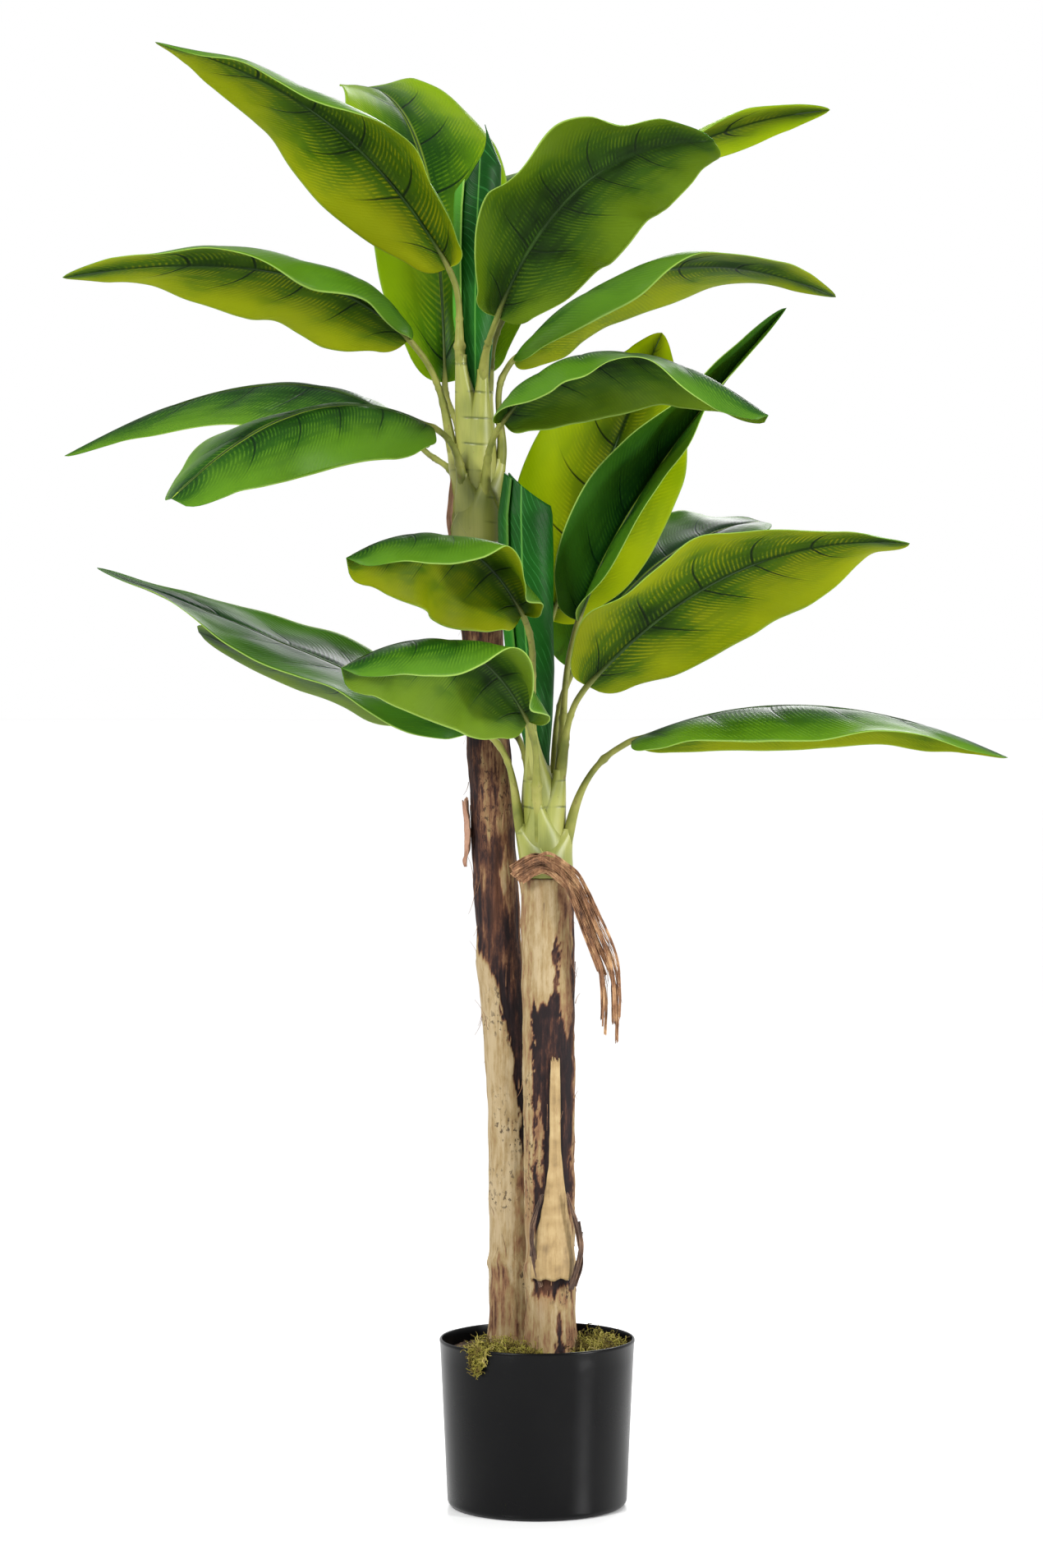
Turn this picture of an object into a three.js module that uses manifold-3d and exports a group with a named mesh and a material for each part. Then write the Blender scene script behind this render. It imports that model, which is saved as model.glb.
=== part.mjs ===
// Artificial banana plant: two real-bark trunks, each with a crown of fabric leaves on wired stalks,
// set in the filling of a plain round pot. Millimetres, +Z up, origin at the centre of the pot's underside.
import * as THREE from 'three';
import { mergeVertices } from 'three/addons/utils/BufferGeometryUtils.js';
import Module from 'manifold-3d';

const wasm = await Module();
wasm.setup();

// ---- driving sizes ----
const GAP = 0.3;
const POT = { rim: 100, foot: 92, height: 172, wall: 2.6, floor: 4, edge: 7, lip: 4 };
const SOIL_TOP = 157;
const TRUNK_SIDES = 16;
const STALK_SIDES = 6;
const STALK_RADIUS = 4;
const SHEATH_LENGTH = 120;
const FOOT_REACH = 25;
const BLADE_THICK = 1.8;
const RIB_THICK = 3.4;
const BLADE_STATIONS = 11;

// Each trunk is a leaning, tapering post. Its axis passes through these points, and its radius runs from foot to
// top; above the bark the stem of leaf sheaths goes on along the same axis.
const TRUNKS = {
  tall: {
    axis: [
      [-22, 25, SOIL_TOP], [-28, 25, 445], [-40, 25, 580], [-46, 25, 720], [-56, 25, 890], [-61, 25, 985],
      [-63, 25, 1140], [-62, 25, 1300],
    ],
    foot: 25, top: 22, bark: 985, core: 21, coreTop: 1130,
  },
  short: {
    axis: [[14, -25, SOIL_TOP], [12, -25, 370], [10, -25, 640], [2, -25, 760], [-8, -25, 900]],
    foot: 24, top: 28, bark: 645, core: 21, coreTop: 770,
  },
};
const FLARE = { extra: 5, height: 30 };

// Rolled new leaves that stand up out of each stem: a radius, a tip and how far the roll leans.
const SPEARS = {
  tall_spear: { stem: 'tall', tip: [-56, 25, 1410], radius: [11, 20, 22, 23, 19], blunt: 0.15 },
  short_spear: { stem: 'short', tip: [-12, -25, 1055], radius: [11, 22, 25, 27, 26], blunt: 0.75 },
};

// ---- leaves ----
// base, mid and tip are points on the midrib. width is the blade's full width. roll turns the blade about its
// midrib, from base to tip. right and left bend each half: the angle at the rib, then the angle at the margin
// from base to tip, positive upwards. wave is the margin's ripple: angle, count and phase.
// foot is the height on the stem where the leaf's sheath ends and its stalk begins. end is how fast the outline
// draws in to the tip.
const POINTED = 0.85;
const BLUNT = 0.45;
const LEAVES = {
  tall_leaf_1: {
    stem: 'tall', foot: 1165, base: [-90, -12, 1262], mid: [-208, -120, 1398], tip: [-370, -200, 1465],
    width: 145, roll: [-55, -10], right: [0, 10, 10], left: [0, -90, -60], wave: [10, 2.2, 0.1], end: POINTED,
  },
  tall_leaf_2: {
    stem: 'tall', foot: 1090, base: [-95, 70, 1150], mid: [-120, 150, 1388], tip: [-188, 310, 1480],
    width: 165, roll: [0, 0], right: [5, 20, 10], left: [5, 15, 0], wave: [10, 2, 0.3], end: BLUNT,
  },
  tall_leaf_3: {
    stem: 'tall', foot: 1075, base: [-130, 0, 1190], mid: [-265, -60, 1255], tip: [-470, -110, 1245],
    width: 140, roll: [-60, -25], right: [0, -10, 10], left: [10, -140, -140, -80, 40],
    wave: [12, 2.5, 0.2], end: POINTED,
  },
  tall_leaf_4: {
    stem: 'tall', foot: 1040, base: [-120, 80, 1085], mid: [-275, 200, 1156], tip: [-510, 290, 1082],
    width: 125, roll: [0, 0], right: [-5, -20, -20], left: [-45, -75, -60], wave: [10, 2.3, 0.5], end: POINTED,
  },
  tall_leaf_5: {
    stem: 'tall', foot: 1045, base: [-105, -40, 1100], mid: [-225, -175, 1112], tip: [-348, -300, 1022],
    width: 145, roll: [0, 0], right: [0, -15, -20], left: [-35, -75, -70], wave: [10, 2, 0], end: BLUNT,
  },
  tall_leaf_6: {
    stem: 'tall', foot: 1150, base: [-40, -45, 1210], mid: [45, -190, 1330], tip: [165, -320, 1358],
    width: 150, roll: [50, 45], right: [0, -75, -35], left: [0, 15, 5], wave: [16, 3, 0.3], end: BLUNT,
  },
  tall_leaf_7: {
    stem: 'tall', foot: 1130, base: [-30, 85, 1225], mid: [120, 200, 1385], tip: [315, 270, 1452],
    width: 145, roll: [20, 45], right: [0, -30, -40], left: [0, 5, 10], wave: [10, 2, 0.6], end: POINTED,
  },
  tall_leaf_8: {
    stem: 'tall', foot: 1110, base: [-60, 118, 1160], mid: [-56, 255, 1318], tip: [20, 380, 1405],
    width: 135, roll: [0, 0], right: [10, 20, 10], left: [10, 20, 10], wave: [10, 2, 0.8], end: POINTED,
  },
  tall_leaf_9: {
    stem: 'tall', foot: 1060, base: [-25, 20, 1170], mid: [130, 90, 1268], tip: [315, 170, 1245],
    width: 140, roll: [50, 15], right: [0, -130, -110, -20, 0], left: [0, -10, 10], wave: [10, 2, 0.4], end: POINTED,
  },
  tall_leaf_10: {
    stem: 'tall', foot: 1035, base: [-35, -45, 1105], mid: [75, -150, 1168], tip: [222, -225, 1104],
    width: 135, roll: [15, -10], right: [5, -75, -90, -15, -55], left: [-35, -95, -70], wave: [8, 3, 0.1], end: BLUNT,
  },
  short_leaf_1: {
    stem: 'short', foot: 762, base: [14, 58, 905], mid: [75, 60, 1070], tip: [128, 45, 1200],
    width: 165, roll: [85, 85], right: [0, 10, 10], left: [0, 10, 10], wave: [8, 2, 0.2], end: POINTED,
  },
  short_leaf_2: {
    stem: 'short', foot: 740, base: [42, 12, 905], mid: [114, 10, 1045], tip: [255, 40, 1225],
    width: 120, roll: [-75, -65], right: [70, 65, 55], left: [40, 50, 60], wave: [6, 2, 0.5], end: POINTED,
  },
  short_leaf_3: {
    stem: 'short', foot: 695, base: [38, 62, 855], mid: [130, 200, 965], tip: [245, 330, 1012],
    width: 145, roll: [-20, -10], right: [5, 10, -10], left: [5, 15, 10], wave: [14, 3, 0.4], end: BLUNT,
  },
  short_leaf_4: {
    stem: 'short', foot: 745, base: [50, -60, 840], mid: [195, -180, 955], tip: [355, -270, 980],
    width: 158, roll: [40, 35], right: [0, -40, -40], left: [0, 0, -5], wave: [10, 2, 0.1], end: POINTED,
  },
  short_leaf_5: {
    stem: 'short', foot: 685, base: [95, -60, 785], mid: [270, -130, 822], tip: [460, -175, 772],
    width: 140, roll: [0, 0], right: [-15, -45, -25], left: [-20, -70, -40], wave: [8, 2, 0.6], end: POINTED,
  },
  short_leaf_6: {
    stem: 'short', foot: 790, base: [-15, -85, 912], mid: [-88, -200, 986], tip: [-182, -305, 966],
    width: 160, roll: [-25, -15], right: [-50, -75, -70], left: [-20, -60, -105, -15, -75, -60],
    wave: [6, 2, 0.4], end: BLUNT,
  },
  short_leaf_7: {
    stem: 'short', foot: 690, base: [-60, -45, 797], mid: [-235, 40, 872], tip: [-460, 130, 960],
    width: 140, roll: [0, 0], right: [0, 20, 20], left: [-10, -40, 0], wave: [8, 2, 0.2], end: POINTED,
  },
  short_leaf_8: {
    stem: 'short', foot: 700, base: [-45, 75, 800], mid: [-195, 210, 828], tip: [-368, 320, 892],
    width: 130, roll: [-25, -40], right: [0, 0, 10], left: [0, -30, 0], wave: [8, 2, 0.7], end: BLUNT,
  },
  short_leaf_9: {
    stem: 'short', foot: 715, base: [-10, -90, 805], mid: [-84, -215, 884], tip: [-186, -330, 862],
    width: 160, roll: [-25, -15], right: [-50, -75, -70], left: [-20, -65, -105, -30, -85, -65],
    wave: [6, 2, 0.1], end: BLUNT,
  },
};

// ---- materials ----
const finish = (color, roughness) => new THREE.MeshStandardMaterial({ color, roughness, metalness: 0 });
const FINISH = {
  pot: finish(0x161616, 0.45),
  soil: finish(0x3a2a1c, 0.95),
  moss: finish(0x7a7428, 0.95),
  bark: finish(0x8a6840, 0.9),
  husk: finish(0x7a5236, 0.9),
  sheath: finish(0xa9ae5c, 0.6),
  leaf: finish(0x3f8a28, 0.45),
  spear: finish(0x1d6a24, 0.4),
};

// ---- small helpers ----
const UP = new THREE.Vector3(0, 0, 1);
const vec = (p) => new THREE.Vector3(...p);
const rad = THREE.MathUtils.degToRad;
const lerp = THREE.MathUtils.lerp;

// The value at t, from 0 to 1, of a list of values at even steps.
function through(values, t) {
  const at = t * (values.length - 1);
  const low = Math.min(Math.floor(at), values.length - 2);
  return lerp(values[low], values[low + 1], at - low);
}

function signedVolume(points, faces) {
  let sum = 0;
  for (const [a, b, c] of faces) sum += points[a].dot(points[b].clone().cross(points[c]));
  return sum / 6;
}

// A closed body through rings of points that match one to one, with a flat fan over each end. A ring of one
// point is a sharp end. From the point backFrom on, the faces between rings are split along their other diagonal,
// so that the two faces of a thin blade stay parallel where it twists.
function loft(rings, backFrom = Infinity) {
  const points = rings.flat();
  const start = [];
  rings.reduce((at, ring) => { start.push(at); return at + ring.length; }, 0);
  const faces = [];
  const cap = (first, count) => {
    for (let k = 1; k < count - 1; k += 1) faces.push([first, first + k, first + k + 1]);
  };
  const last = rings.length - 1;
  cap(start[last], rings[last].length);
  for (let i = 0; i < last; i += 1) {
    const count = rings[i].length;
    for (let k = 0; k < count; k += 1) {
      const a = start[i] + k;
      const b = start[i] + ((k + 1) % count);
      if (rings[i + 1].length === 1) {
        faces.push([a, b, start[i + 1]]);
        continue;
      }
      const c = start[i + 1] + ((k + 1) % count);
      const d = start[i + 1] + k;
      if (k < backFrom) faces.push([a, b, c], [a, c, d]);
      else faces.push([a, b, d], [b, c, d]);
    }
  }
  for (let k = 1; k < rings[0].length - 1; k += 1) faces.push([start[0], start[0] + k + 1, start[0] + k]);
  const outward = signedVolume(points, faces) > 0 ? faces : faces.map(([a, b, c]) => [a, c, b]);
  const geometry = new THREE.BufferGeometry();
  geometry.setAttribute('position', new THREE.Float32BufferAttribute(points.flatMap((p) => p.toArray()), 3));
  geometry.setIndex(outward.flat());
  return geometry;
}

// A ring of points round a centre, in the plane of two given directions.
function ringOf(centre, u, v, ru, rv, sides, turn = 0) {
  return Array.from({ length: sides }, (_, k) => {
    const a = (2 * Math.PI * k) / sides + turn;
    return centre.clone().addScaledVector(u, ru * Math.cos(a)).addScaledVector(v, rv * Math.sin(a));
  });
}

// A round limb along a curve, its radius running through the listed values.
function limb(curve, radii, sides, steps) {
  const rings = [];
  let side = null;
  for (let i = 0; i <= steps; i += 1) {
    const t = i / steps;
    const tangent = curve.getTangent(t);
    side = side ?? new THREE.Vector3(1, 0.2, 0);
    side = side.clone().addScaledVector(tangent, -side.dot(tangent)).normalize();
    const across = tangent.clone().cross(side);
    const r = through(radii, t);
    rings.push(ringOf(curve.getPoint(t), side, across, r, r, sides));
  }
  return loft(rings);
}

function toManifold(geometry) {
  const bare = new THREE.BufferGeometry();
  bare.setAttribute('position', geometry.getAttribute('position').clone());
  if (geometry.index) bare.setIndex(geometry.index.clone());
  const merged = mergeVertices(bare, 1e-4);
  return new wasm.Manifold(new wasm.Mesh({
    numProp: 3,
    vertProperties: new Float32Array(merged.getAttribute('position').array),
    triVerts: new Uint32Array(merged.index.array),
  }));
}

function fromManifold(solid) {
  const mesh = solid.getMesh();
  const geometry = new THREE.BufferGeometry();
  geometry.setAttribute('position', new THREE.BufferAttribute(mesh.vertProperties.slice(), 3));
  geometry.setIndex(new THREE.BufferAttribute(mesh.triVerts.slice(), 1));
  return geometry;
}

// ---- stems ----
const axisCurve = Object.fromEntries(Object.entries(TRUNKS).map(([name, trunk]) => [
  name, new THREE.CatmullRomCurve3(trunk.axis.map(vec)),
]));

// The point of a stem's axis at a height, found by halving, because the curve's own measure isn't height.
function axisAt(stem, z) {
  const curve = axisCurve[stem];
  let low = 0;
  let high = 1;
  for (let i = 0; i < 30; i += 1) {
    const middle = (low + high) / 2;
    if (curve.getPoint(middle).z < z) low = middle;
    else high = middle;
  }
  const point = curve.getPoint((low + high) / 2);
  point.z = z;
  return point;
}

function trunkRadius(stem, z) {
  const { foot, top, bark } = TRUNKS[stem];
  const flare = FLARE.extra * Math.exp(-(z - SOIL_TOP) / FLARE.height);
  return lerp(foot, top, (z - SOIL_TOP) / (bark - SOIL_TOP)) + flare;
}

// Horizontal rings from the flat cut on the soil up to the top of the bark, close together in the flare.
function trunk(stem) {
  const from = SOIL_TOP + GAP;
  const { bark } = TRUNKS[stem];
  const heights = [0, 0.02, 0.05, 0.1, 0.2, 0.3, 0.4, 0.5, 0.6, 0.7, 0.8, 0.9, 1].map((t) => lerp(from, bark, t));
  const flatX = new THREE.Vector3(1, 0, 0);
  const flatY = new THREE.Vector3(0, 1, 0);
  return loft(heights.map((z) => {
    const r = trunkRadius(stem, z);
    return ringOf(axisAt(stem, z), flatX, flatY, r, r, TRUNK_SIDES);
  }));
}

// ---- leaf places ----
// Where a leaf's sheath ends and its stalk starts: beside the stem, on the side its blade is on.
function stalkFoot(leaf) {
  const axis = axisAt(leaf.stem, leaf.foot);
  const away = vec(leaf.base).sub(axis).setZ(0).normalize();
  const rise = away.clone().multiplyScalar(0.18).add(UP).normalize();
  return { point: axis.clone().addScaledVector(away, FOOT_REACH), away, rise };
}

function midrib(leaf) {
  const [base, mid, tip] = [vec(leaf.base), vec(leaf.mid), vec(leaf.tip)];
  const handle = mid.clone().multiplyScalar(2).addScaledVector(base, -0.5).addScaledVector(tip, -0.5);
  return new THREE.QuadraticBezierCurve3(base, handle, tip);
}

// A sheath clasps the stem low down, broad and flat, and draws in to the round stalk at its foot.
function sheath(leaf) {
  const { point, away, rise } = stalkFoot(leaf);
  const length = Math.min(SHEATH_LENGTH, leaf.foot - TRUNKS[leaf.stem].bark - 4);
  const low = axisAt(leaf.stem, leaf.foot - length).addScaledVector(away, 8);
  const middle = axisAt(leaf.stem, leaf.foot - length * 0.45).addScaledVector(away, 16);
  const curve = new THREE.CatmullRomCurve3([low, middle, point]);
  const across = UP.clone().cross(away).normalize();
  const sections = [[0, 16, 11], [0.35, 16, 11], [0.7, 10, 8], [1, STALK_RADIUS + 0.8, STALK_RADIUS + 0.8]];
  return loft(sections.map(([t, wide, deep]) => {
    const along = t === 1 ? rise : curve.getTangent(t);
    const outward = across.clone().cross(along).normalize();
    return ringOf(curve.getPoint(t), across, outward, wide, deep, 8);
  }));
}

// A stalk rises along its sheath, then bows out to meet the blade in line with the midrib. room makes it fatter,
// for cutting its way past the sheaths of other leaves.
function stalk(leaf, room = 0) {
  const { point, rise } = stalkFoot(leaf);
  const out = midrib(leaf).getTangent(0);
  const start = point.clone().addScaledVector(rise, GAP - room / 2);
  const end = vec(leaf.base).addScaledVector(out, -GAP);
  const reach = start.distanceTo(end) * 0.4;
  const curve = new THREE.CubicBezierCurve3(
    start, start.clone().addScaledVector(rise, reach), end.clone().addScaledVector(out, -reach), end,
  );
  const radii = [STALK_RADIUS + 0.8, STALK_RADIUS, STALK_RADIUS - 0.4].map((r) => r + room);
  return limb(curve, radii, STALK_SIDES, 6);
}

// The stem above the bark and all the sheaths on it are one body.
function sheathBundle(stem) {
  const { bark, core, top, coreTop } = TRUNKS[stem];
  const heights = [bark + GAP, bark + 30, coreTop - 30, coreTop];
  const radii = [top - 1, core + 1, core, core - 6];
  const flatX = new THREE.Vector3(1, 0, 0);
  const flatY = new THREE.Vector3(0, 1, 0);
  const leaves = Object.values(LEAVES).filter((leaf) => leaf.stem === stem);
  let body = toManifold(loft(heights.map((z, i) => ringOf(axisAt(stem, z), flatX, flatY, radii[i], radii[i], 12))));
  for (const leaf of leaves) body = body.add(toManifold(sheath(leaf)));
  for (const leaf of leaves) body = body.subtract(toManifold(stalk(leaf, GAP)));
  const below = new THREE.CylinderGeometry(80, 80, 100, 24).rotateX(Math.PI / 2);
  const floor = axisAt(stem, bark + GAP);
  below.translate(floor.x, floor.y, floor.z - 50);
  return body.subtract(toManifold(below));
}

// ---- blades ----
// Half the blade's width as a share of its greatest, from the round base to the drawn-out tip.
function outline(u, end) {
  const s = Math.sin(Math.PI * u ** 0.8);
  return s ** (u < 0.42 ? 0.6 : end);
}

// A point of one half of a cross-section: across and up from the rib, where the half bends from one angle at the
// rib to another at the margin, with its normal.
function bend(rib, margin, t, reach) {
  const turn = margin - rib;
  const angle = rib + turn * t;
  const along = Math.abs(turn) < 1e-3
    ? [t * Math.cos(rib), t * Math.sin(rib)]
    : [(Math.sin(angle) - Math.sin(rib)) / turn, (Math.cos(rib) - Math.cos(angle)) / turn];
  return { across: along[0] * reach, up: along[1] * reach, angle };
}

// Eight points to a ring: margin, middle and rib of each half, with the middles and the rib doubled for the
// thickness, the four from the left margin on being the underside. The first ring is the end of the rib, round but
// for a groove on its upper side.
function blade(leaf) {
  const rib = midrib(leaf);
  const rings = [];
  for (let i = 0; i <= BLADE_STATIONS; i += 1) {
    const u = i === 0 ? 0 : lerp(0.045, 1, (i - 1) / (BLADE_STATIONS - 1));
    const centre = rib.getPoint(u);
    const tangent = rib.getTangent(u);
    const level = UP.clone().addScaledVector(tangent, -UP.dot(tangent)).normalize();
    const flat = tangent.clone().cross(level);
    const roll = rad(lerp(leaf.roll[0], leaf.roll[1], u));
    const side = flat.clone().multiplyScalar(Math.cos(roll)).addScaledVector(level, Math.sin(roll));
    const top = level.clone().multiplyScalar(Math.cos(roll)).addScaledVector(flat, -Math.sin(roll));
    const place = (across, up) => centre.clone().addScaledVector(side, across).addScaledVector(top, up);
    if (i === 0) {
      const r = STALK_RADIUS - 0.4;
      rings.push(ringOf(centre, side, top, r, r, 8).map((p, k) => (k === 2 ? place(0, r * 0.5) : p)));
      continue;
    }
    if (i === BLADE_STATIONS) {
      rings.push([centre]);
      continue;
    }
    const reach = (leaf.width / 2) * outline(u, leaf.end);
    const [amount, count, phase] = leaf.wave;
    const half = ([atRib, ...atMargin], sign, shift) => {
      const ripple = amount * Math.sin(2 * Math.PI * (count * u + phase + shift));
      const margin = rad(through(atMargin, u) + ripple);
      const point = (t, lift) => {
        const { across, up, angle } = bend(rad(atRib), margin, t, reach);
        return place(sign * (across - lift * Math.sin(angle)), up + lift * Math.cos(angle));
      };
      const thick = BLADE_THICK / 2;
      return { edge: point(1, 0), over: point(0.5, thick), under: point(0.5, -thick) };
    };
    const right = half(leaf.right, 1, 0);
    const left = half(leaf.left, -1, 0.37);
    rings.push([
      right.edge, right.over, place(0, RIB_THICK / 2), left.over,
      left.edge, left.under, place(0, -RIB_THICK / 2), right.under,
    ]);
  }
  return loft(rings, 4);
}

// A rolled leaf: a tube that swells above the stem and is cut off aslant, or runs to a point.
function spear({ stem, tip, radius, blunt }) {
  const foot = axisAt(stem, TRUNKS[stem].coreTop + GAP);
  const curve = new THREE.CatmullRomCurve3([foot, foot.clone().lerp(vec(tip), 0.5).add(vec([-3, 0, 0])), vec(tip)]);
  const steps = [0, 0.12, 0.3, 0.5, 0.7, 0.85, 0.95, 1];
  const flatX = new THREE.Vector3(1, 0, 0);
  const flatY = new THREE.Vector3(0, 1, 0);
  return loft(steps.map((t) => {
    const full = through(radius, t);
    const r = t > 0.85 ? full * lerp(1, blunt, (t - 0.85) / 0.15) : full;
    return ringOf(curve.getPoint(t), flatX, flatY, r, r * 0.8, 12);
  }));
}

// ---- pot and filling ----
function pot() {
  const { rim, foot, height, wall, floor, edge, lip } = POT;
  const corner = Array.from({ length: 4 }, (_, k) => {
    const a = (Math.PI / 2) * (k / 3);
    return new THREE.Vector2(foot - edge + edge * Math.sin(a), edge - edge * Math.cos(a));
  });
  const profile = [
    new THREE.Vector2(0, 0), ...corner,
    new THREE.Vector2(rim - 0.6, height - lip), new THREE.Vector2(rim, height - lip / 2),
    new THREE.Vector2(rim - 0.8, height), new THREE.Vector2(rim - wall, height),
    new THREE.Vector2(foot - wall, floor + edge), new THREE.Vector2(foot - edge - wall, floor),
    new THREE.Vector2(0, floor),
  ];
  return new THREE.LatheGeometry(profile, 32);
}

function soil() {
  const { rim, foot, height, wall, floor, edge } = POT;
  const inner = (z) => lerp(foot, rim, (z - floor - edge) / (height - floor - edge)) - wall - 2 * GAP;
  const profile = [
    new THREE.Vector2(0, floor + GAP), new THREE.Vector2(foot - edge - wall - GAP, floor + GAP),
    new THREE.Vector2(inner(floor + edge), floor + edge + GAP), new THREE.Vector2(inner(SOIL_TOP), SOIL_TOP),
    new THREE.Vector2(0, SOIL_TOP),
  ];
  return new THREE.LatheGeometry(profile, 32);
}

// A low uneven cushion on the soil, cut clear of both trunks.
function moss([x, y], spread, height) {
  const blob = new THREE.IcosahedronGeometry(1, 2);
  blob.scale(spread, spread * 0.8, height * 2);
  const position = blob.getAttribute('position');
  for (let i = 0; i < position.count; i += 1) {
    const p = new THREE.Vector3().fromBufferAttribute(position, i);
    const lump = 1 + 0.12 * Math.sin(p.x * 0.21 + x) * Math.cos(p.y * 0.23 + y);
    position.setXYZ(i, p.x * lump + x, p.y * lump + y, p.z * lump + SOIL_TOP);
  }
  const bounds = new THREE.CylinderGeometry(POT.rim - 6, POT.rim - 6, 60, 32);
  bounds.rotateX(Math.PI / 2).translate(0, 0, SOIL_TOP + GAP + 30);
  let body = toManifold(blob).intersect(toManifold(bounds));
  for (const stem of Object.keys(TRUNKS)) {
    const r = trunkRadius(stem, SOIL_TOP) + 1;
    const clear = new THREE.CylinderGeometry(r, r, 120, TRUNK_SIDES);
    const foot = axisAt(stem, SOIL_TOP);
    clear.rotateX(Math.PI / 2).translate(foot.x, foot.y, SOIL_TOP);
    body = body.subtract(toManifold(clear));
  }
  return fromManifold(body);
}

// ---- dry bark ----
// A strip of old sheath that hugs a trunk: bottom and top heights, the way it faces, its half-angle and
// thickness at bottom, middle and top.
function wrap(stem, [low, high], facing, halfAngle, thick) {
  const rows = 6;
  return loft(Array.from({ length: rows + 1 }, (_, row) => {
    const t = row / rows;
    const z = lerp(low, high, t);
    const centre = axisAt(stem, z);
    const inner = trunkRadius(stem, z) + 2 * GAP;
    const outer = inner + through(thick, t);
    const spread = rad(through(halfAngle, t));
    const at = (r, k) => {
      const a = rad(facing) + spread * k;
      return centre.clone().add(vec([r * Math.cos(a), r * Math.sin(a), 0]));
    };
    const steps = [-1, -0.5, 0, 0.5, 1];
    return [...steps.map((k) => at(outer, k)), ...steps.reverse().map((k) => at(inner, k))];
  }));
}

// The dead leaf base that hangs from the top of the short trunk's bark: a flat ribbon, narrowing.
function huskStrip() {
  const curve = new THREE.CatmullRomCurve3([
    vec([8, -57, 664]), vec([32, -62, 650]), vec([56, -60, 600]), vec([75, -56, 550]), vec([76, -54, 498]),
  ]);
  const front = new THREE.Vector3(0, -1, 0);
  return loft([0, 0.15, 0.3, 0.5, 0.7, 0.85, 1].map((t) => {
    const across = curve.getTangent(t).cross(front).normalize();
    return ringOf(curve.getPoint(t), across, front, lerp(13, 5, t), lerp(3.5, 2, t), 8);
  }));
}

// ---- the plant ----
const plant = new THREE.Group();
function add(name, geometry, material) {
  const mesh = new THREE.Mesh(geometry, material);
  mesh.name = name;
  plant.add(mesh);
}

const upright = (geometry) => geometry.rotateX(Math.PI / 2);
add('pot', upright(pot()), FINISH.pot);
add('soil', upright(soil()), FINISH.soil);
add('moss_left', moss([-38, -48], 44, 10), FINISH.moss);
add('moss_right', moss([62, -8], 38, 9), FINISH.moss);
for (const stem of Object.keys(TRUNKS)) {
  add(`${stem}_trunk`, trunk(stem), FINISH.bark);
  add(`${stem}_sheaths`, fromManifold(sheathBundle(stem)), FINISH.sheath);
}
for (const [name, shape] of Object.entries(SPEARS)) add(name, spear(shape), FINISH.spear);
for (const [name, leaf] of Object.entries(LEAVES)) {
  add(name, blade(leaf), FINISH.leaf);
  add(name.replace('leaf', 'stalk'), stalk(leaf), FINISH.sheath);
}
add('bark_tongue', wrap('short', [240, 463], -80, [42, 30, 10], [6, 3, 2]), FINISH.husk);
add('bark_flap', wrap('tall', [655, 722], 190, [10, 26, 8], [2, 3, 2]), FINISH.husk);
add('husk_strip', huskStrip(), FINISH.husk);

export default plant;
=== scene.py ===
# Artificial banana plant in a pot: fabric leaves with printed veins on wired stalks, real-bark trunks, moss
# and coir in a plain black pot. Metres, +Z up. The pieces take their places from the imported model's nodes.
import math
import random

import bmesh
import bpy
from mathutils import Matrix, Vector, noise


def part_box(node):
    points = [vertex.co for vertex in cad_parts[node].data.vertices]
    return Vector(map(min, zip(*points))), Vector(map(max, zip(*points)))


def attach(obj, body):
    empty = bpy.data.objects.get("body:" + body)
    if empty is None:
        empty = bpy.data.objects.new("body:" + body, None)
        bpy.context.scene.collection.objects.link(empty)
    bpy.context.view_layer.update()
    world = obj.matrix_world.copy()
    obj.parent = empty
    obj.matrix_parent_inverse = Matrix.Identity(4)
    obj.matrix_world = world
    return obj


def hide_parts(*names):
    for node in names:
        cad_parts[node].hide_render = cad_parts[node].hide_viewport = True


MM = 0.001
MIDDLE = Vector((0, 0, 0))
UP = Vector((0, 0, 1))
FRONT = Vector((0, -1, 0))

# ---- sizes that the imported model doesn't hold ----
BLADE_ROWS = 84
BLADE_COLUMNS = 34
BLADE_THICK = 0.7 * MM
RIPPLE = 8.5 * MM
VEIN_COUNT = 6.0
VEIN_SWEEP = 0.95
VEIN_CURVE = 1.35
VEIN_RELIEF = 1.7 * MM
CALM_WIDTH = 38 * MM
BLADE_RING = 8
STALK_RING = 6
TRUNK_RING = 16
SPEAR_RING = 12
TIP_MARK = 0.24
SHEATH_LENGTH = 165 * MM
SHEATH_THICK = 0.9 * MM
SPEAR_THICK = 0.8 * MM
STRIP_THICK = 1.2 * MM
RIBBON_THICK = 0.9 * MM
FREE_EDGE = math.radians(232)
BARK_COLUMNS = 120
BARK_STEP = 2.6 * MM
BARE_TONE = 0.13
SCAR_HEIGHT = 88 * MM
HUSK_RIBBONS = 15
HUSK_THREADS = 70
COIR_FIBRES = 520
BED_DEPTH = 22 * MM
MOSS_STEMS = 1100
MOSS_OVER_RIM = 220
SEED = 7


# ---- colours ----
def colour(code):
    """The linear colour of a hex code."""
    parts = [int(code[i:i + 2], 16) / 255 for i in (0, 2, 4)]
    return (*[p / 12.92 if p <= 0.04045 else ((p + 0.055) / 1.055) ** 2.4 for p in parts], 1)


# ---- small sums ----
def lerp(a, b, t):
    return a + (b - a) * t


def clamp(value, low=0.0, high=1.0):
    return max(low, min(high, value))


def smooth(value, low, high):
    """0 below low, 1 above high and smooth between."""
    t = clamp((value - low) / (high - low))
    return t * t * (3 - 2 * t)


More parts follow.
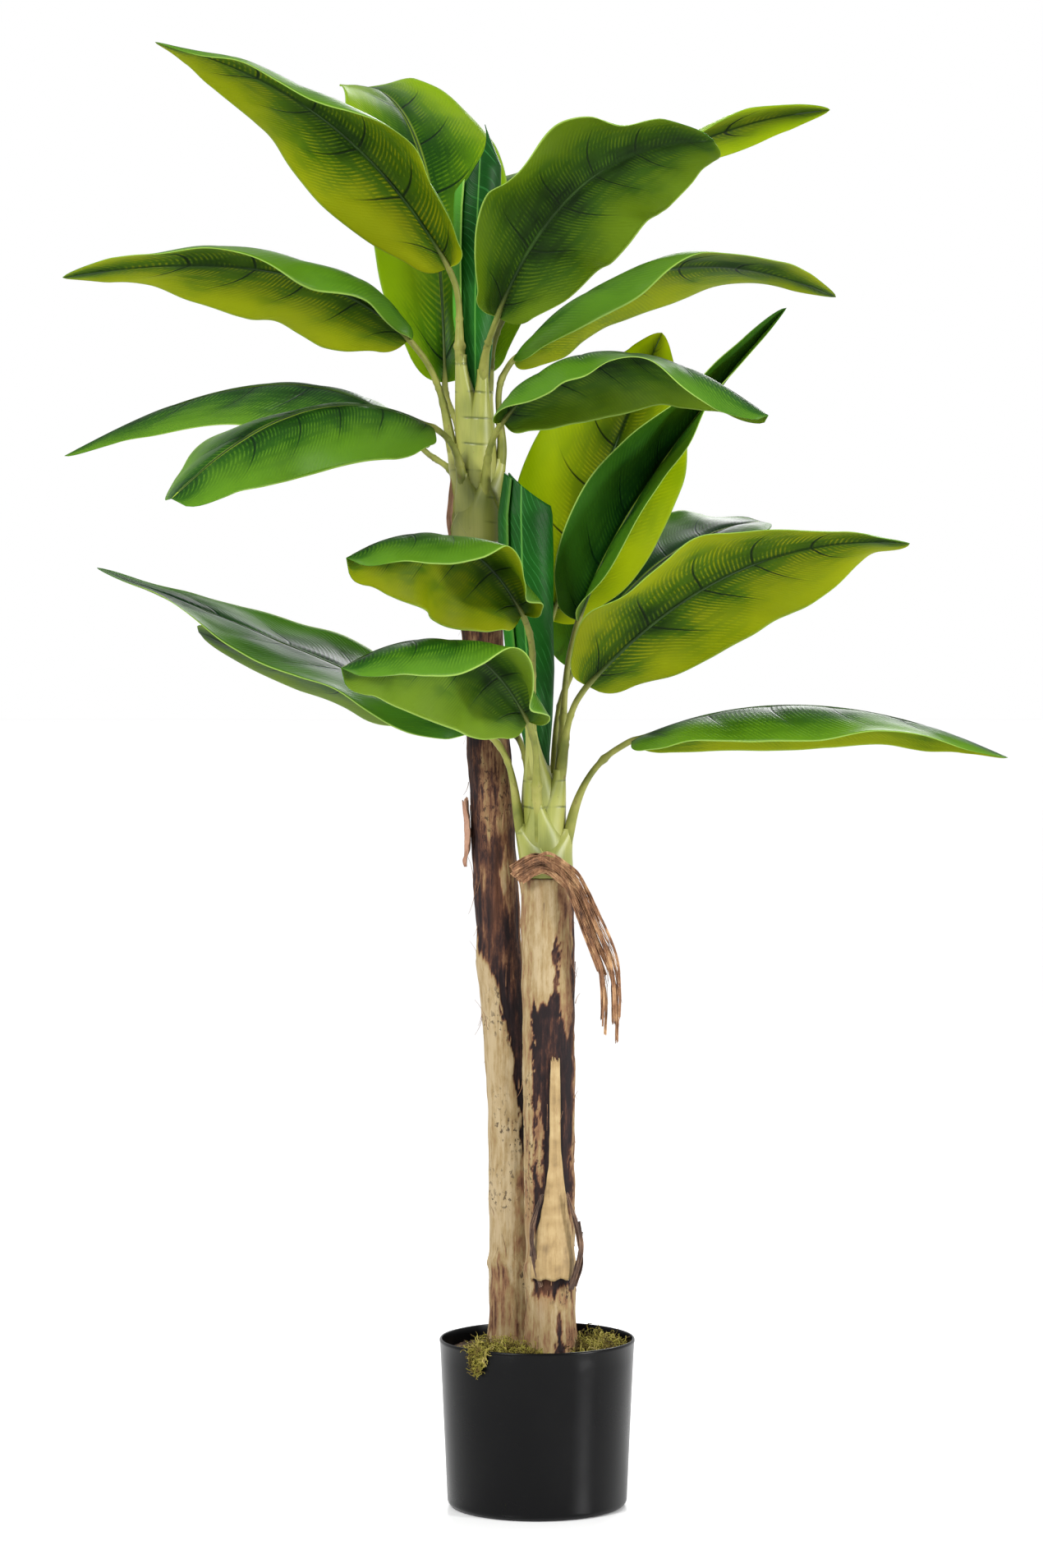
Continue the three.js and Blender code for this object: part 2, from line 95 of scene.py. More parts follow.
def along(values, t):
    """The value at t, from 0 to 1, of a smooth curve through evenly spaced values."""
    place = clamp(t) * (len(values) - 1)
    i = min(int(place), len(values) - 2)
    f = place - i
    a = values[max(i - 1, 0)]
    b = values[i]
    c = values[i + 1]
    d = values[min(i + 2, len(values) - 1)]
    square = (a * 2 - b * 5 + c * 4 - d) * f * f
    cube = (b * 3 - a - c * 3 + d) * f ** 3
    return (b * 2 + (c - a) * f + square + cube) * 0.5


def middle(points):
    """The mean of some points."""
    return sum(points, Vector()) / len(points)


def mm(x, y, z):
    """A vector given in millimetres."""
    return Vector((x, y, z)) * MM


def round_at(centre, radius, angle, z):
    """The point at a height and at an angle round a centre."""
    return Vector((centre.x + radius * math.cos(angle), centre.y + radius * math.sin(angle), z))


def scattered(draw, *spans):
    """A vector with each part drawn from its own span."""
    return Vector([draw.uniform(low, high) for low, high in spans])


def lumps(x, y, z):
    """Smooth noise, from -1 to 1, at a place."""
    return noise.noise(Vector((x, y, z)))


def grain(point, size):
    """Smooth noise, from -1 to 1, with lumps of about the given size."""
    return noise.noise(point / size)


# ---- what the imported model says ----
def welded(node):
    """A copy of a CAD node's mesh with its loose triangles joined."""
    mesh = bmesh.new()
    mesh.from_mesh(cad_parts[node].data)
    bmesh.ops.remove_doubles(mesh, verts=mesh.verts, dist=0.01 * MM)
    mesh.verts.index_update()
    return mesh


def linked(vert):
    return [edge.other_vert(vert) for edge in vert.link_edges]


def closest(mesh, other, count):
    """The corners of one mesh that lie closest to another mesh."""
    targets = [v.co for v in other.verts]
    return sorted(mesh.verts, key=lambda v: min((v.co - t).length for t in targets))[:count]


def level_rings(node, count):
    """The centre and radius of each level ring of a node, from the lowest up. A ring has count corners."""
    mesh = welded(node)
    points = sorted((v.co.copy() for v in mesh.verts), key=lambda p: p.z)
    mesh.free()
    rings = []
    for start in range(0, len(points), count):
        ring = points[start:start + count]
        centre = middle(ring)
        wide = max(p.x for p in ring) - min(p.x for p in ring)
        rings.append((centre, wide / 2))
    return rings


def trunk_rings(stem):
    return level_rings(f"{stem}_trunk", TRUNK_RING)


def ends_of(rings):
    """The heights of the lowest and the highest ring."""
    return rings[0][0].z, rings[-1][0].z


def at_height(rings, z):
    """The centre and radius of a ringed node at a height."""
    for (low, low_r), (high, high_r) in zip(rings, rings[1:]):
        if z <= high.z:
            t = clamp((z - low.z) / (high.z - low.z))
            return low.lerp(high, t), lerp(low_r, high_r, t)
    return rings[-1]


def stalk_line(mesh, blade_mesh):
    """The centres of a stalk's rings, from its foot to the blade."""
    ring = closest(mesh, blade_mesh, STALK_RING)
    done = set(ring)
    centres = [middle([v.co for v in ring])]
    while True:
        ring = sorted({o for v in ring for o in linked(v)} - done, key=lambda v: v.index)
        if not ring:
            return centres[::-1]
        done.update(ring)
        centres.append(middle([v.co for v in ring]))


def first_ring(mesh, stalk_mesh):
    """The ring where a blade meets its stalk, in order from the right margin over the upper side. The groove
    in the upper side is the corner nearest the ring's middle."""
    ring = closest(mesh, stalk_mesh, BLADE_RING)
    centre = middle([v.co for v in ring])
    groove = min(ring, key=lambda v: (v.co - centre).length)
    beyond = [o.co for v in ring for o in linked(v) if o not in ring]
    top = (groove.co - centre).normalized()
    side = (middle(beyond) - centre).cross(top).normalized()

    def place(vert):
        arm = vert.co - centre
        eighths = math.atan2(arm.dot(top), arm.dot(side)) / (math.pi / 4)
        return round(eighths) % BLADE_RING

    return sorted(ring, key=place)


def next_ring(ring, done):
    """The ring after this one, matched corner to corner. Only the left margin has a single edge onward, so
    the match starts there and goes both ways round. At the tip every edge leads to one corner."""
    onward = [[o for o in linked(v) if o not in done] for v in ring]
    if len({o for group in onward for o in group}) == 1:
        return None
    match = [None] * BLADE_RING
    match[4] = onward[4][0]
    for k in (3, 2, 1):
        match[k] = next(o for o in onward[k] if o != match[k + 1])
    for k in (5, 6, 7):
        match[k] = next(o for o in onward[k] if o != match[k - 1])
    match[0] = next(o for o in onward[0] if o not in (match[1], match[7]))
    return match


class Blade:
    """The shape of one leaf blade: its rib, its upper side and how each half spreads and bends."""

    def __init__(self, leaf, stalk):
        mesh = welded(leaf)
        stalk_mesh = welded(stalk)
        self.stalk = stalk_line(stalk_mesh, mesh)
        ring = first_ring(mesh, stalk_mesh)
        base = middle([v.co for v in ring])
        done = set(ring)
        sections = []
        ups = []
        while True:
            last = ring
            ring = next_ring(ring, done)
            if ring is None:
                break
            done.update(ring)
            p = [v.co.copy() for v in ring]
            sections.append([p[0], (p[1] + p[7]) / 2, (p[2] + p[6]) / 2, (p[3] + p[5]) / 2, p[4]])
            ups.append((p[2] - p[6]).normalized())
        tip = next(o.co.copy() for o in linked(last[0]) if o not in done)
        mesh.free()
        stalk_mesh.free()
        self.ribs = [base] + [s[2] for s in sections] + [tip]
        self.ups = [ups[0]] + ups + [ups[-1]]
        self.reaches = [
            ((s[0] - s[1]).length + (s[1] - s[2]).length + (s[3] - s[2]).length + (s[4] - s[3]).length) / 2
            for s in sections
        ]
        self.right = [((s[1] - s[2]) / r, (s[0] - s[2]) / r) for s, r in zip(sections, self.reaches)]
        self.left = [((s[3] - s[2]) / r, (s[4] - s[2]) / r) for s, r in zip(sections, self.reaches)]
        self.length = sum((b - a).length for a, b in zip(self.ribs, self.ribs[1:]))
        self.tip_power = math.log(self.reaches[-1] / max(self.reaches)) / math.log(TIP_MARK)

    def rib(self, u):
        return along(self.ribs, u)

    def up(self, u):
        return along(self.ups, u).normalized()

    def reach(self, u):
        """The length of each half from rib to margin: round at the base, drawn in to the tip."""
        spans = len(self.reaches) + 1
        t = u * spans
        if t < 1:
            return self.reaches[0] * t ** 0.48
        if t > spans - 1:
            return self.reaches[-1] * max(spans - t, 0) ** self.tip_power
        return along(self.reaches, (t - 1) / (spans - 2))

    def point(self, u, v):
        """The point at u from base to tip and v from the left margin to the right."""
        across = 2 * v - 1
        half = self.right if across >= 0 else self.left
        t = clamp((u * (len(half) + 1) - 1) / (len(half) - 1))
        mid = along([h[0] for h in half], t)
        edge = along([h[1] for h in half], t)
        x = abs(across)
        bow = (mid * 4 - edge) * x + (edge * 2 - mid * 4) * x * x
        return self.rib(u) + bow * self.reach(u)


# ---- making meshes ----
def only(piece):
    """Makes one piece the only selected one, and active."""
    bpy.ops.object.select_all(action="DESELECT")
    piece.select_set(True)
    bpy.context.view_layer.objects.active = piece


def surface(name, rows, columns, place):
    """A grid of faces bent to shape. place(u, v) gives the point at u along and v across, from 0 to 1."""
    bpy.ops.object.select_all(action="DESELECT")
    bpy.ops.mesh.primitive_grid_add(x_subdivisions=columns, y_subdivisions=rows, size=2)
    piece = bpy.context.object
    piece.name = name
    piece.data.name = name
    for vertex in piece.data.vertices:
        vertex.co = place((vertex.co.y + 1) / 2, (vertex.co.x + 1) / 2)
    piece.data.update()
    return piece


def close_up(piece):
    """Joins the edges that meet, fills the open ends and turns every face outwards."""
    only(piece)
    bpy.ops.object.mode_set(mode="EDIT")
    bpy.ops.mesh.select_all(action="SELECT")
    bpy.ops.mesh.remove_doubles(threshold=0.002 * MM)
    bpy.ops.mesh.fill_holes(sides=0)
    bpy.ops.mesh.select_all(action="SELECT")
    bpy.ops.mesh.normals_make_consistent(inside=False)
    bpy.ops.object.mode_set(mode="OBJECT")
    return piece


def thicken(piece, thickness, materials=()):
    """Gives a surface its thickness. With two materials, the second is for its lower side."""
    only(piece)
    for material in materials:
        piece.data.materials.append(material)
    solid = piece.modifiers.new("Thickness", "SOLIDIFY")
    solid.thickness = thickness
    solid.offset = 0.0
    solid.material_offset = max(len(materials) - 1, 0)
    solid.use_even_offset = False
    bpy.ops.object.modifier_apply(modifier=solid.name)
    return piece


def frames_on(centres, rows):
    """Places along a smooth line, each with its two cross directions carried on without a twist."""
    places = [along(centres, i / rows) for i in range(rows + 1)]
    side = None
    frames = []
    for i, place in enumerate(places):
        ahead = (places[min(i + 1, rows)] - places[max(i - 1, 0)]).normalized()
        if side is None:
            side = ahead.cross(FRONT if abs(ahead.y) < 0.9 else UP)
        side = (side - ahead * side.dot(ahead)).normalized()
        frames.append((place, side, ahead.cross(side)))
    return frames


def tube(name, centres, radius, rows, sides):
    """A closed round limb along a smooth line. radius(u, angle) is its radius at u along."""
    frames = frames_on(centres, rows)

    def place(u, v):
        centre, side, across = frames[round(u * rows)]
        angle = 2 * math.pi * v
        r = radius(u, angle)
        return centre + side * (r * math.cos(angle)) + across * (r * math.sin(angle))

    return close_up(surface(name, rows, sides, place))


def strands(name, lines):
    """One mesh of many thin tapering threads. A line is a list of points with radii."""
    curve = bpy.data.curves.new(name, "CURVE")
    curve.dimensions = "3D"
    curve.bevel_depth = 1
    curve.bevel_resolution = 0
    curve.use_fill_caps = True
    for line in lines:
        spline = curve.splines.new("POLY")
        spline.points.add(len(line) - 1)
        for point, (place, radius) in zip(spline.points, line):
            point.co = (*place, 1)
            point.radius = radius
    piece = bpy.data.objects.new(name, curve)
    bpy.context.collection.objects.link(piece)
    only(piece)
    bpy.ops.object.convert(target="MESH")
    return bpy.context.object


def join(name, pieces):
    """Joins several pieces into the first."""
    only(pieces[0])
    for piece in pieces:
        piece.select_set(True)
    bpy.ops.object.join()
    pieces[0].name = name
    pieces[0].data.name = name
    return pieces[0]


def finish_piece(piece, materials, replaced=(), angle=None):
    """Gives a finished piece its smooth shading and materials, hangs it on the root body and hides the nodes
    that it stands for.
    """
    only(piece)
    if angle is None:
        bpy.ops.object.shade_smooth()
    else:
        bpy.ops.object.shade_smooth_by_angle(angle=math.radians(angle))
    if not piece.data.materials:
        for material in materials:
            piece.data.materials.append(material)
    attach(piece, "root")
    if replaced:
        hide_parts(*replaced)
    return piece


# ---- wiring materials ----
class Wiring:
    """Adds and joins the nodes of one material or group."""

    def __init__(self, tree, material=None):
        self.tree = tree
        self.tree.nodes.clear()
        self.material = material

    def node(self, kind, settings=None, **inputs):
        node = self.tree.nodes.new("ShaderNode" + kind)
        for key, value in (settings or {}).items():
            setattr(node, key, value)
        for key, value in inputs.items():
            self.put(node.inputs[key.replace("_", " ")], value)
        return node

    def put(self, socket, value):
        """Joins a socket to another's output, or sets it. A text is the hex code of a colour."""
        if isinstance(value, bpy.types.NodeSocket):
            self.tree.links.new(value, socket)
        else:
            socket.default_value = colour(value) if isinstance(value, str) else value

    def sum(self, operation, *values):
        node = self.node("Math", {"operation": operation})
        for socket, value in zip(node.inputs, values):
            self.put(socket, value)
        return node.outputs[0]

    def times(self, a, b):
        return self.sum("MULTIPLY", a, b)

    def plus(self, a, b):
        return self.sum("ADD", a, b)

    def minus(self, a, b):
        return self.sum("SUBTRACT", a, b)

    def times_plus(self, a, b, c):
        """a times b, plus c."""
        return self.sum("MULTIPLY_ADD", a, b, c)

    def blend(self, a, a_share, b, b_share):
        """So much of one value and so much of another."""
        return self.times_plus(a, a_share, self.times(b, b_share))

    def gap(self, a, b):
        """How far one value is from another."""
        return self.sum("ABSOLUTE", self.minus(a, b))

    def swing(self, value, strength):
        """A value that lies round a half, moved to lie round 0."""
        return self.times(self.minus(value, 0.5), strength)

    def step(self, value, low, high, out_low=0.0, out_high=1.0):
        node = self.node("MapRange", {"interpolation_type": "SMOOTHSTEP"}, Value=value)
        for socket, number in zip(node.inputs[1:5], (low, high, out_low, out_high)):
            self.put(socket, number)
        return node.outputs[0]

    def fall(self, value, low, high):
        """1 below low and 0 above high."""
        return self.step(value, low, high, 1.0, 0.0)

    def mix(self, factor, a, b):
        node = self.node("Mix", {"data_type": "RGBA"})
        for socket, value in zip((node.inputs[0], node.inputs[6], node.inputs[7]), (factor, a, b)):
            self.put(socket, value)
        return node.outputs[2]

    def layer(self, under, mask, share, over):
        """A colour laid over another where a mask says, by no more than its share."""
        return self.mix(self.times(mask, share), under, over)

    def scaled(self, vector, scale):
        return self.node("Mapping", Vector=vector, Scale=scale).outputs[0]

    def noise(self, vector, scale, detail=3.0, roughness=0.55):
        node = self.node("TexNoise", Vector=vector, Scale=scale, Detail=detail, Roughness=roughness)
        return node.outputs[0]

    def ramp(self, value, stops):
        node = self.node("ValToRGB", Fac=value)
        band = node.color_ramp
        while len(band.elements) < len(stops):
            band.elements.new(0.5)
        for element, (at, code) in zip(band.elements, stops):
            element.position = at
            element.color = colour(code)
        return node.outputs[0]

    def sheet(self):
        return self.node("UVMap", {"uv_map": "UVMap"}).outputs[0]

    def parts(self, vector):
        return self.node("SeparateXYZ", Vector=vector).outputs

    def group(self, name, **inputs):
        return self.node("Group", {"node_tree": bpy.data.node_groups[name]}, **inputs).outputs

    def bump(self, height, strength, distance):
        return self.node("Bump", Height=height, Strength=strength, Distance=distance).outputs[0]

    def coat(self, base, roughness, normal=None, gloss=0.5):
        """A plain shader with its own gloss."""
        shader = self.node("BsdfPrincipled", Base_Color=base, Roughness=roughness)
        if normal:
            self.put(shader.inputs["Normal"], normal)
        shader.inputs["Specular IOR Level"].default_value = gloss
        return shader.outputs[0]

    def finish(self, shader):
        """Gives the material its shader, and gives back the material."""
        self.node("OutputMaterial", Surface=shader)
        return self.material


def new_group(name, inputs, outputs):
    """An empty node group and its two ends. Every output is a number."""
    tree = bpy.data.node_groups.new(name, "ShaderNodeTree")
    for label, kind in inputs:
        tree.interface.new_socket(label, in_out="INPUT", socket_type="NodeSocket" + kind)
    for label in outputs:
        tree.interface.new_socket(label, in_out="OUTPUT", socket_type="NodeSocketFloat")
    wires = Wiring(tree)
    start = tree.nodes.new("NodeGroupInput")
    end = tree.nodes.new("NodeGroupOutput")
    return wires, start.outputs, end.inputs


def new_material(name):
    """The wiring of a new material, and the place on the object that its patterns follow."""
    material = bpy.data.materials.new(name)
    material.use_nodes = True
    wires = Wiring(material.node_tree, material)
    return wires, wires.node("TexCoord").outputs["Object"]


# ---- effects that several materials use ----
def make_vein_group():
    """The veins printed on a leaf, from its own map: x across, the rib at a half, and y from base to tip."""
    wires, start, end = new_group(
        "Leaf veins",
        [("Map", "Vector"), ("Count", "Float"), ("Sweep", "Float"), ("Curve", "Float")],
        ["Side", "Fine", "Halo", "Rib", "Margin", "Across"],
    )
    map_x, map_y, _ = wires.parts(start["Map"])
    across = wires.times(wires.gap(map_x, 0.5), 2.0)
    bow = wires.times(wires.sum("POWER", across, start["Curve"]), start["Sweep"])
    shaken = wires.plus(bow, wires.swing(wires.noise(start["Map"], 2.2, 0.0), 0.5))
    phase = wires.minus(wires.times(map_y, start["Count"]), shaken)
    off = wires.gap(wires.sum("FRACT", phase), 0.5)
    width = wires.step(across, 0.0, 0.7, 0.042, 0.012)
    line = wires.fall(off, 0.004, width)
    ends = wires.fall(map_y, 0.86, 0.97)
    fine = wires.sum("SINE", wires.times(phase, 82.0))
    broken = wires.step(wires.noise(wires.scaled(start["Map"], (9, 3, 1)), 3.0, 2.0), 0.35, 0.65)
    wires.put(end["Side"], wires.times(wires.times(line, wires.fall(across, 0.3, 0.75)), ends))
    wires.put(end["Fine"], wires.times(wires.step(fine, -0.3, 1.0), broken))
    wires.put(end["Halo"], wires.times(wires.fall(off, 0.0, 0.3), wires.fall(across, 0.3, 0.95)))
    wires.put(end["Rib"], wires.fall(across, 0.016, 0.045))
    wires.put(end["Margin"], wires.times(wires.step(across, 0.972, 0.992), ends))
    wires.put(end["Across"], across)


def make_fibre_group():
    """Long fibres that run up and down, in fine and coarse streaks."""
    wires, start, end = new_group("Fibres", [("Place", "Vector"), ("Scale", "Float")], ["Value"])
    tall = wires.scaled(start["Place"], (1, 1, 0.035))
    fine = wires.noise(tall, start["Scale"], 4.0, 0.6)
    coarse = wires.noise(tall, wires.times(start["Scale"], 0.3), 2.0)
    wires.put(end["Value"], wires.blend(fine, 0.6, coarse, 0.4))


# ---- finishes ----
def leaf_material(name, tones, vein, rib, glow, glow_share, roughness, gloss):
    """One side of a fabric leaf. tones run from dark to light, and glow is the colour of light through it."""
    wires, place = new_material(name)
    veins = wires.group(
        "Leaf veins", Map=wires.sheet(), Count=VEIN_COUNT, Sweep=VEIN_SWEEP, Curve=VEIN_CURVE
    )
    cloudy = wires.noise(place, 9.0, 3.0)
    # Painted shade along the rib and painted light toward the margins: the blade is darker at the rib and
    # lighter out to its edges. The halo makes it a little darker round each side vein.
    outward = wires.blend(veins["Across"], 0.5, veins["Halo"], -0.08)
    level = wires.plus(wires.plus(cloudy, outward), wires.times(veins["Fine"], 0.3))
    base = wires.ramp(level, list(zip((0.42, 0.68, 0.98), tones)))
    lined = wires.layer(base, veins["Side"], 0.92, vein)
    ribbed = wires.layer(lined, veins["Rib"], 0.9, rib)
    edged = wires.layer(ribbed, veins["Margin"], 0.7, "9dbb58")
    relief = wires.blend(veins["Fine"], 0.35, veins["Side"], -1.0)
    normal = wires.bump(wires.times_plus(wires.noise(place, 900.0, 1.0), 0.15, relief), 0.5, 0.7 * MM)
    rough = wires.step(cloudy, 0.2, 0.8, roughness - 0.06, roughness + 0.12)
    nearer = wires.blend(veins["Across"], 0.8, cloudy, 0.45)
    lit = wires.mix(wires.step(nearer, 0.05, 0.95), "3c6008", glow)
    through = wires.layer(lit, veins["Side"], 0.9, "16260a")
    light = wires.node("BsdfTranslucent", Color=through, Normal=normal)
    both = wires.node("MixShader", Fac=glow_share)
    wires.put(both.inputs[1], wires.coat(edged, rough, normal, gloss))
    wires.put(both.inputs[2], light.outputs[0])
    return wires.finish(both.outputs[0])


def leaf_materials():
    """The upper and lower finish of the leaves: plain green, and copies of it with painted light and shade.
    """
    kinds = {
        # Painted shade: a darker copy of the green finish, for leaves in shade.
        "deep": (("041c08", "0e360c", "285412"), ("122606", "2a4a08", "526a0a"), 0.22, 0.06),
        "green": (("082608", "1c480c", "467016"), ("1a3406", "426206", "8e9206"), 0.34, 0.14),
        # Painted shade: the green upper side, with a darker lower side.
        "shaded": (("082608", "1c480c", "467016"), ("142a0a", "345810", "607c18"), 0.2, 0.14),
        # Painted light: a yellower copy that paints in the glow of leaves lit from behind, and lets more
        # light through.
        "painted_backlight": (("1c4808", "44720a", "7c960e"), ("465c02", "7c8a02", "aeb004"), 0.6, 0.14),
    }
    made = {}
    for kind, (upper, lower, share, gloss) in kinds.items():
        name = "Leaf " + kind
        made[kind] = (
            leaf_material(name + " upper", upper, "08260a", "9cb83c", "98c414", share, 0.38, gloss),
            leaf_material(name + " lower", lower, "16280a", "1c340a", "d0d004", share + 0.12, 0.5, 0.12),
        )
    return made


def stalk_material():
    """A wrapped stalk: olive tan with brown specks, turning dark green under the blade."""
    wires, place = new_material("Stalk")
    specks = wires.step(wires.noise(place, 160.0, 2.0), 0.62, 0.72)
    tone = wires.ramp(wires.noise(place, 30.0), [(0.3, "545c22"), (0.55, "767836"), (0.8, "8e8a4c")])
    spotted = wires.layer(tone, specks, 0.5, "5a4a2a")
    under = wires.ramp(wires.noise(place, 24.0), [(0.35, "142806"), (0.7, "2a4410")])
    base = wires.mix(wires.step(wires.parts(wires.sheet())[1], 0.47, 0.56), spotted, under)
    normal = wires.bump(wires.noise(place, 220.0, 3.0), 0.3, 0.5 * MM)
    return wires.finish(wires.coat(base, 0.5, normal, 0.2))


def sheath_material():
    """The clasping foot of a leaf: pale yellow-green, with creases across it, painted shade in the creases
    and toward its edges, a light edge line and a few brown specks.
    """
    wires, place = new_material("Sheath")
    bands = wires.blend(wires.noise(place, 14.0, 1.0), 0.55, wires.parts(place)[2], 38.0)
    crease = wires.fall(wires.gap(wires.sum("FRACT", bands), 0.5), 0.012, 0.07)
    broken = wires.times(crease, wires.step(wires.noise(place, 38.0, 1.0), 0.42, 0.6))
    fibres = wires.group("Fibres", Place=place, Scale=420.0)["Value"]
    tone = wires.plus(wires.noise(place, 12.0, 2.0), wires.times(fibres, 0.3))
    base = wires.ramp(tone, [(0.42, "5c6428"), (0.62, "7e823a"), (0.85, "9a9852")])
    off_middle = wires.gap(wires.parts(wires.sheet())[0], 0.5)
    # Painted shade: each sheath is darker toward its edges, where the next sheath overlaps it.
    shaded = wires.mix(wires.step(off_middle, 0.3, 0.47, 0.0, 0.4), base, "4c561e")
    # Painted shade: the creases are painted darker.
    painted_crease_shade = wires.layer(shaded, broken, 0.75, "3e4818")
    edged = wires.layer(painted_crease_shade, wires.step(off_middle, 0.47, 0.5), 0.8, "a2a462")
    specks = wires.step(wires.noise(place, 230.0, 1.0), 0.72, 0.78)
    spotted = wires.layer(edged, specks, 0.5, "6b5a30")
    normal = wires.bump(wires.minus(wires.times(fibres, 0.4), broken), 0.5, 0.5 * MM)
    return wires.finish(wires.coat(spotted, 0.42, normal, 0.45))


def spear_material(name, rib_at, strip, pale):
    """A rolled new leaf: deep green with fine slanting veins and a light rib. Its free edge is paler from
    strip on, by the share pale."""
    wires, place = new_material(name)
    across, run, _ = wires.parts(wires.sheet())
    slant = wires.blend(across, 30.0, run, 22.0)
    wander = wires.times_plus(wires.noise(place, 25.0, 1.0), 1.2, slant)
    line = wires.step(wires.sum("SINE", wires.times(wander, 6.283)), 0.75, 1.0)
    broken = wires.times(line, wires.step(wires.noise(place, 40.0), 0.4, 0.65))
    fine = wires.times_plus(wires.sum("SINE", wires.times(wander, 38.0)), 0.5, 0.5)
    base = wires.ramp(wires.noise(place, 9.0), [(0.3, "062c08"), (0.55, "10460c"), (0.8, "2c701a")])
    lined = wires.layer(base, broken, 0.3, "3a8240")
    ribbed = wires.layer(lined, wires.fall(wires.gap(across, rib_at), 0.002, 0.006), 0.4, "63a044")
    edged = wires.layer(ribbed, wires.step(across, strip, strip + 0.02), pale, "4c8c28")
    trimmed = wires.layer(edged, wires.step(across, 0.988, 0.994), 0.8 * pale, "86a84a")
    normal = wires.bump(wires.times_plus(fine, 0.4, line), 0.3, 0.4 * MM)
    return wires.finish(wires.coat(trimmed, 0.4, normal, 0.1))


def bark_material():
    """Old dry leaf bases. The piece's own tone runs from near black, where the skin is gone, to pale tan."""
    wires, place = new_material("Bark")
    tone = wires.node("Attribute", {"attribute_name": "tone"}).outputs["Fac"]
    fibres = wires.group("Fibres", Place=place, Scale=330.0)["Value"]
    frayed = wires.noise(wires.scaled(place, (1, 1, 0.25)), 170.0, 4.0, 0.65)
    blotch = wires.noise(wires.scaled(place, (1, 1, 0.45)), 46.0, 5.0, 0.68)
    mottled = wires.plus(wires.swing(frayed, 0.85), wires.swing(blotch, 1.0))
    value = wires.plus(wires.plus(tone, wires.swing(fibres, 1.15)), mottled)
    dark = [(0.08, "140a0c"), (0.24, "271614"), (0.4, "4a2e20")]
    dry = wires.ramp(value, dark + [(0.56, "73543a"), (0.74, "84704c"), (1.0, "988768")])
    crusty = wires.step(wires.noise(place, 15.0, 1.0), 0.5, 0.62)
    specks = wires.step(wires.noise(wires.scaled(place, (1, 1, 0.6)), 290.0, 3.0, 0.6), 0.56, 0.62)
    base = wires.layer(dry, wires.times(specks, crusty), 0.8, "22120f")
    rusty = wires.step(wires.noise(wires.scaled(place, (1, 1, 0.2)), 34.0, 2.0), 0.55, 0.75)
    warm = wires.layer(base, rusty, 0.35, "70452a")
    normal = wires.bump(wires.times_plus(frayed, 0.6, fibres), 0.8, 0.9 * MM)
    return wires.finish(wires.coat(warm, 0.82, normal, 0.25))


def husk_material(name, stops, roughness=0.8):
    """A dry strip or thread."""
    wires, place = new_material(name)
    fibres = wires.group("Fibres", Place=place, Scale=360.0)["Value"]
    base = wires.ramp(wires.blend(wires.noise(place, 60.0), 0.5, fibres, 0.5), stops)
    return wires.finish(wires.coat(base, roughness, wires.bump(fibres, 0.7, 0.7 * MM)))


def moss_material():
    """Dry moss: brown where it is oldest, then olive and straw."""
    wires, place = new_material("Moss")
    value = wires.blend(wires.noise(place, 45.0, 2.0), 0.55, wires.noise(place, 260.0), 0.45)
    old = [(0.38, "2e2410"), (0.46, "5c4e22")]
    base = wires.ramp(value, old + [(0.54, "757028"), (0.62, "988a4c"), (0.72, "b0a070")])
    return wires.finish(wires.coat(base, 0.9, gloss=0.2))


def soil_material():
    """Loose brown coir."""
    wires, place = new_material("Coir")
    value = wires.blend(wires.noise(place, 120.0, 4.0), 0.7, wires.noise(place, 30.0), 0.3)
    base = wires.ramp(value, [(0.38, "15100c"), (0.52, "33241a"), (0.66, "5c4630")])
    return wires.finish(wires.coat(base, 0.95, wires.bump(value, 1.0, 1.5 * MM)))


def pot_material():
    """Moulded black plastic: satin, with faint scuffs and a little dust."""
    wires, place = new_material("Pot plastic")
    cloudy = wires.noise(place, 14.0, 3.0)
    scuffs = wires.step(wires.noise(wires.scaled(place, (1, 1, 6)), 60.0, 4.0, 0.7), 0.62, 0.8)
    dusty = wires.layer("020203", wires.step(cloudy, 0.45, 0.75), 0.35, "090909")
    worn = wires.layer(dusty, scuffs, 0.25, "242423")
    rough = wires.times_plus(cloudy, 0.14, wires.times_plus(scuffs, 0.12, 0.22))
    normal = wires.bump(wires.noise(place, 420.0, 2.0), 0.12, 0.3 * MM)
    return wires.finish(wires.coat(worn, rough, normal, 0.12))


# ---- leaves ----
def vein_phase(u, v):
    """Which side vein a place on a blade is nearest: a whole number and a half on a vein."""
    return u * VEIN_COUNT - VEIN_SWEEP * abs(2 * v - 1) ** VEIN_CURVE


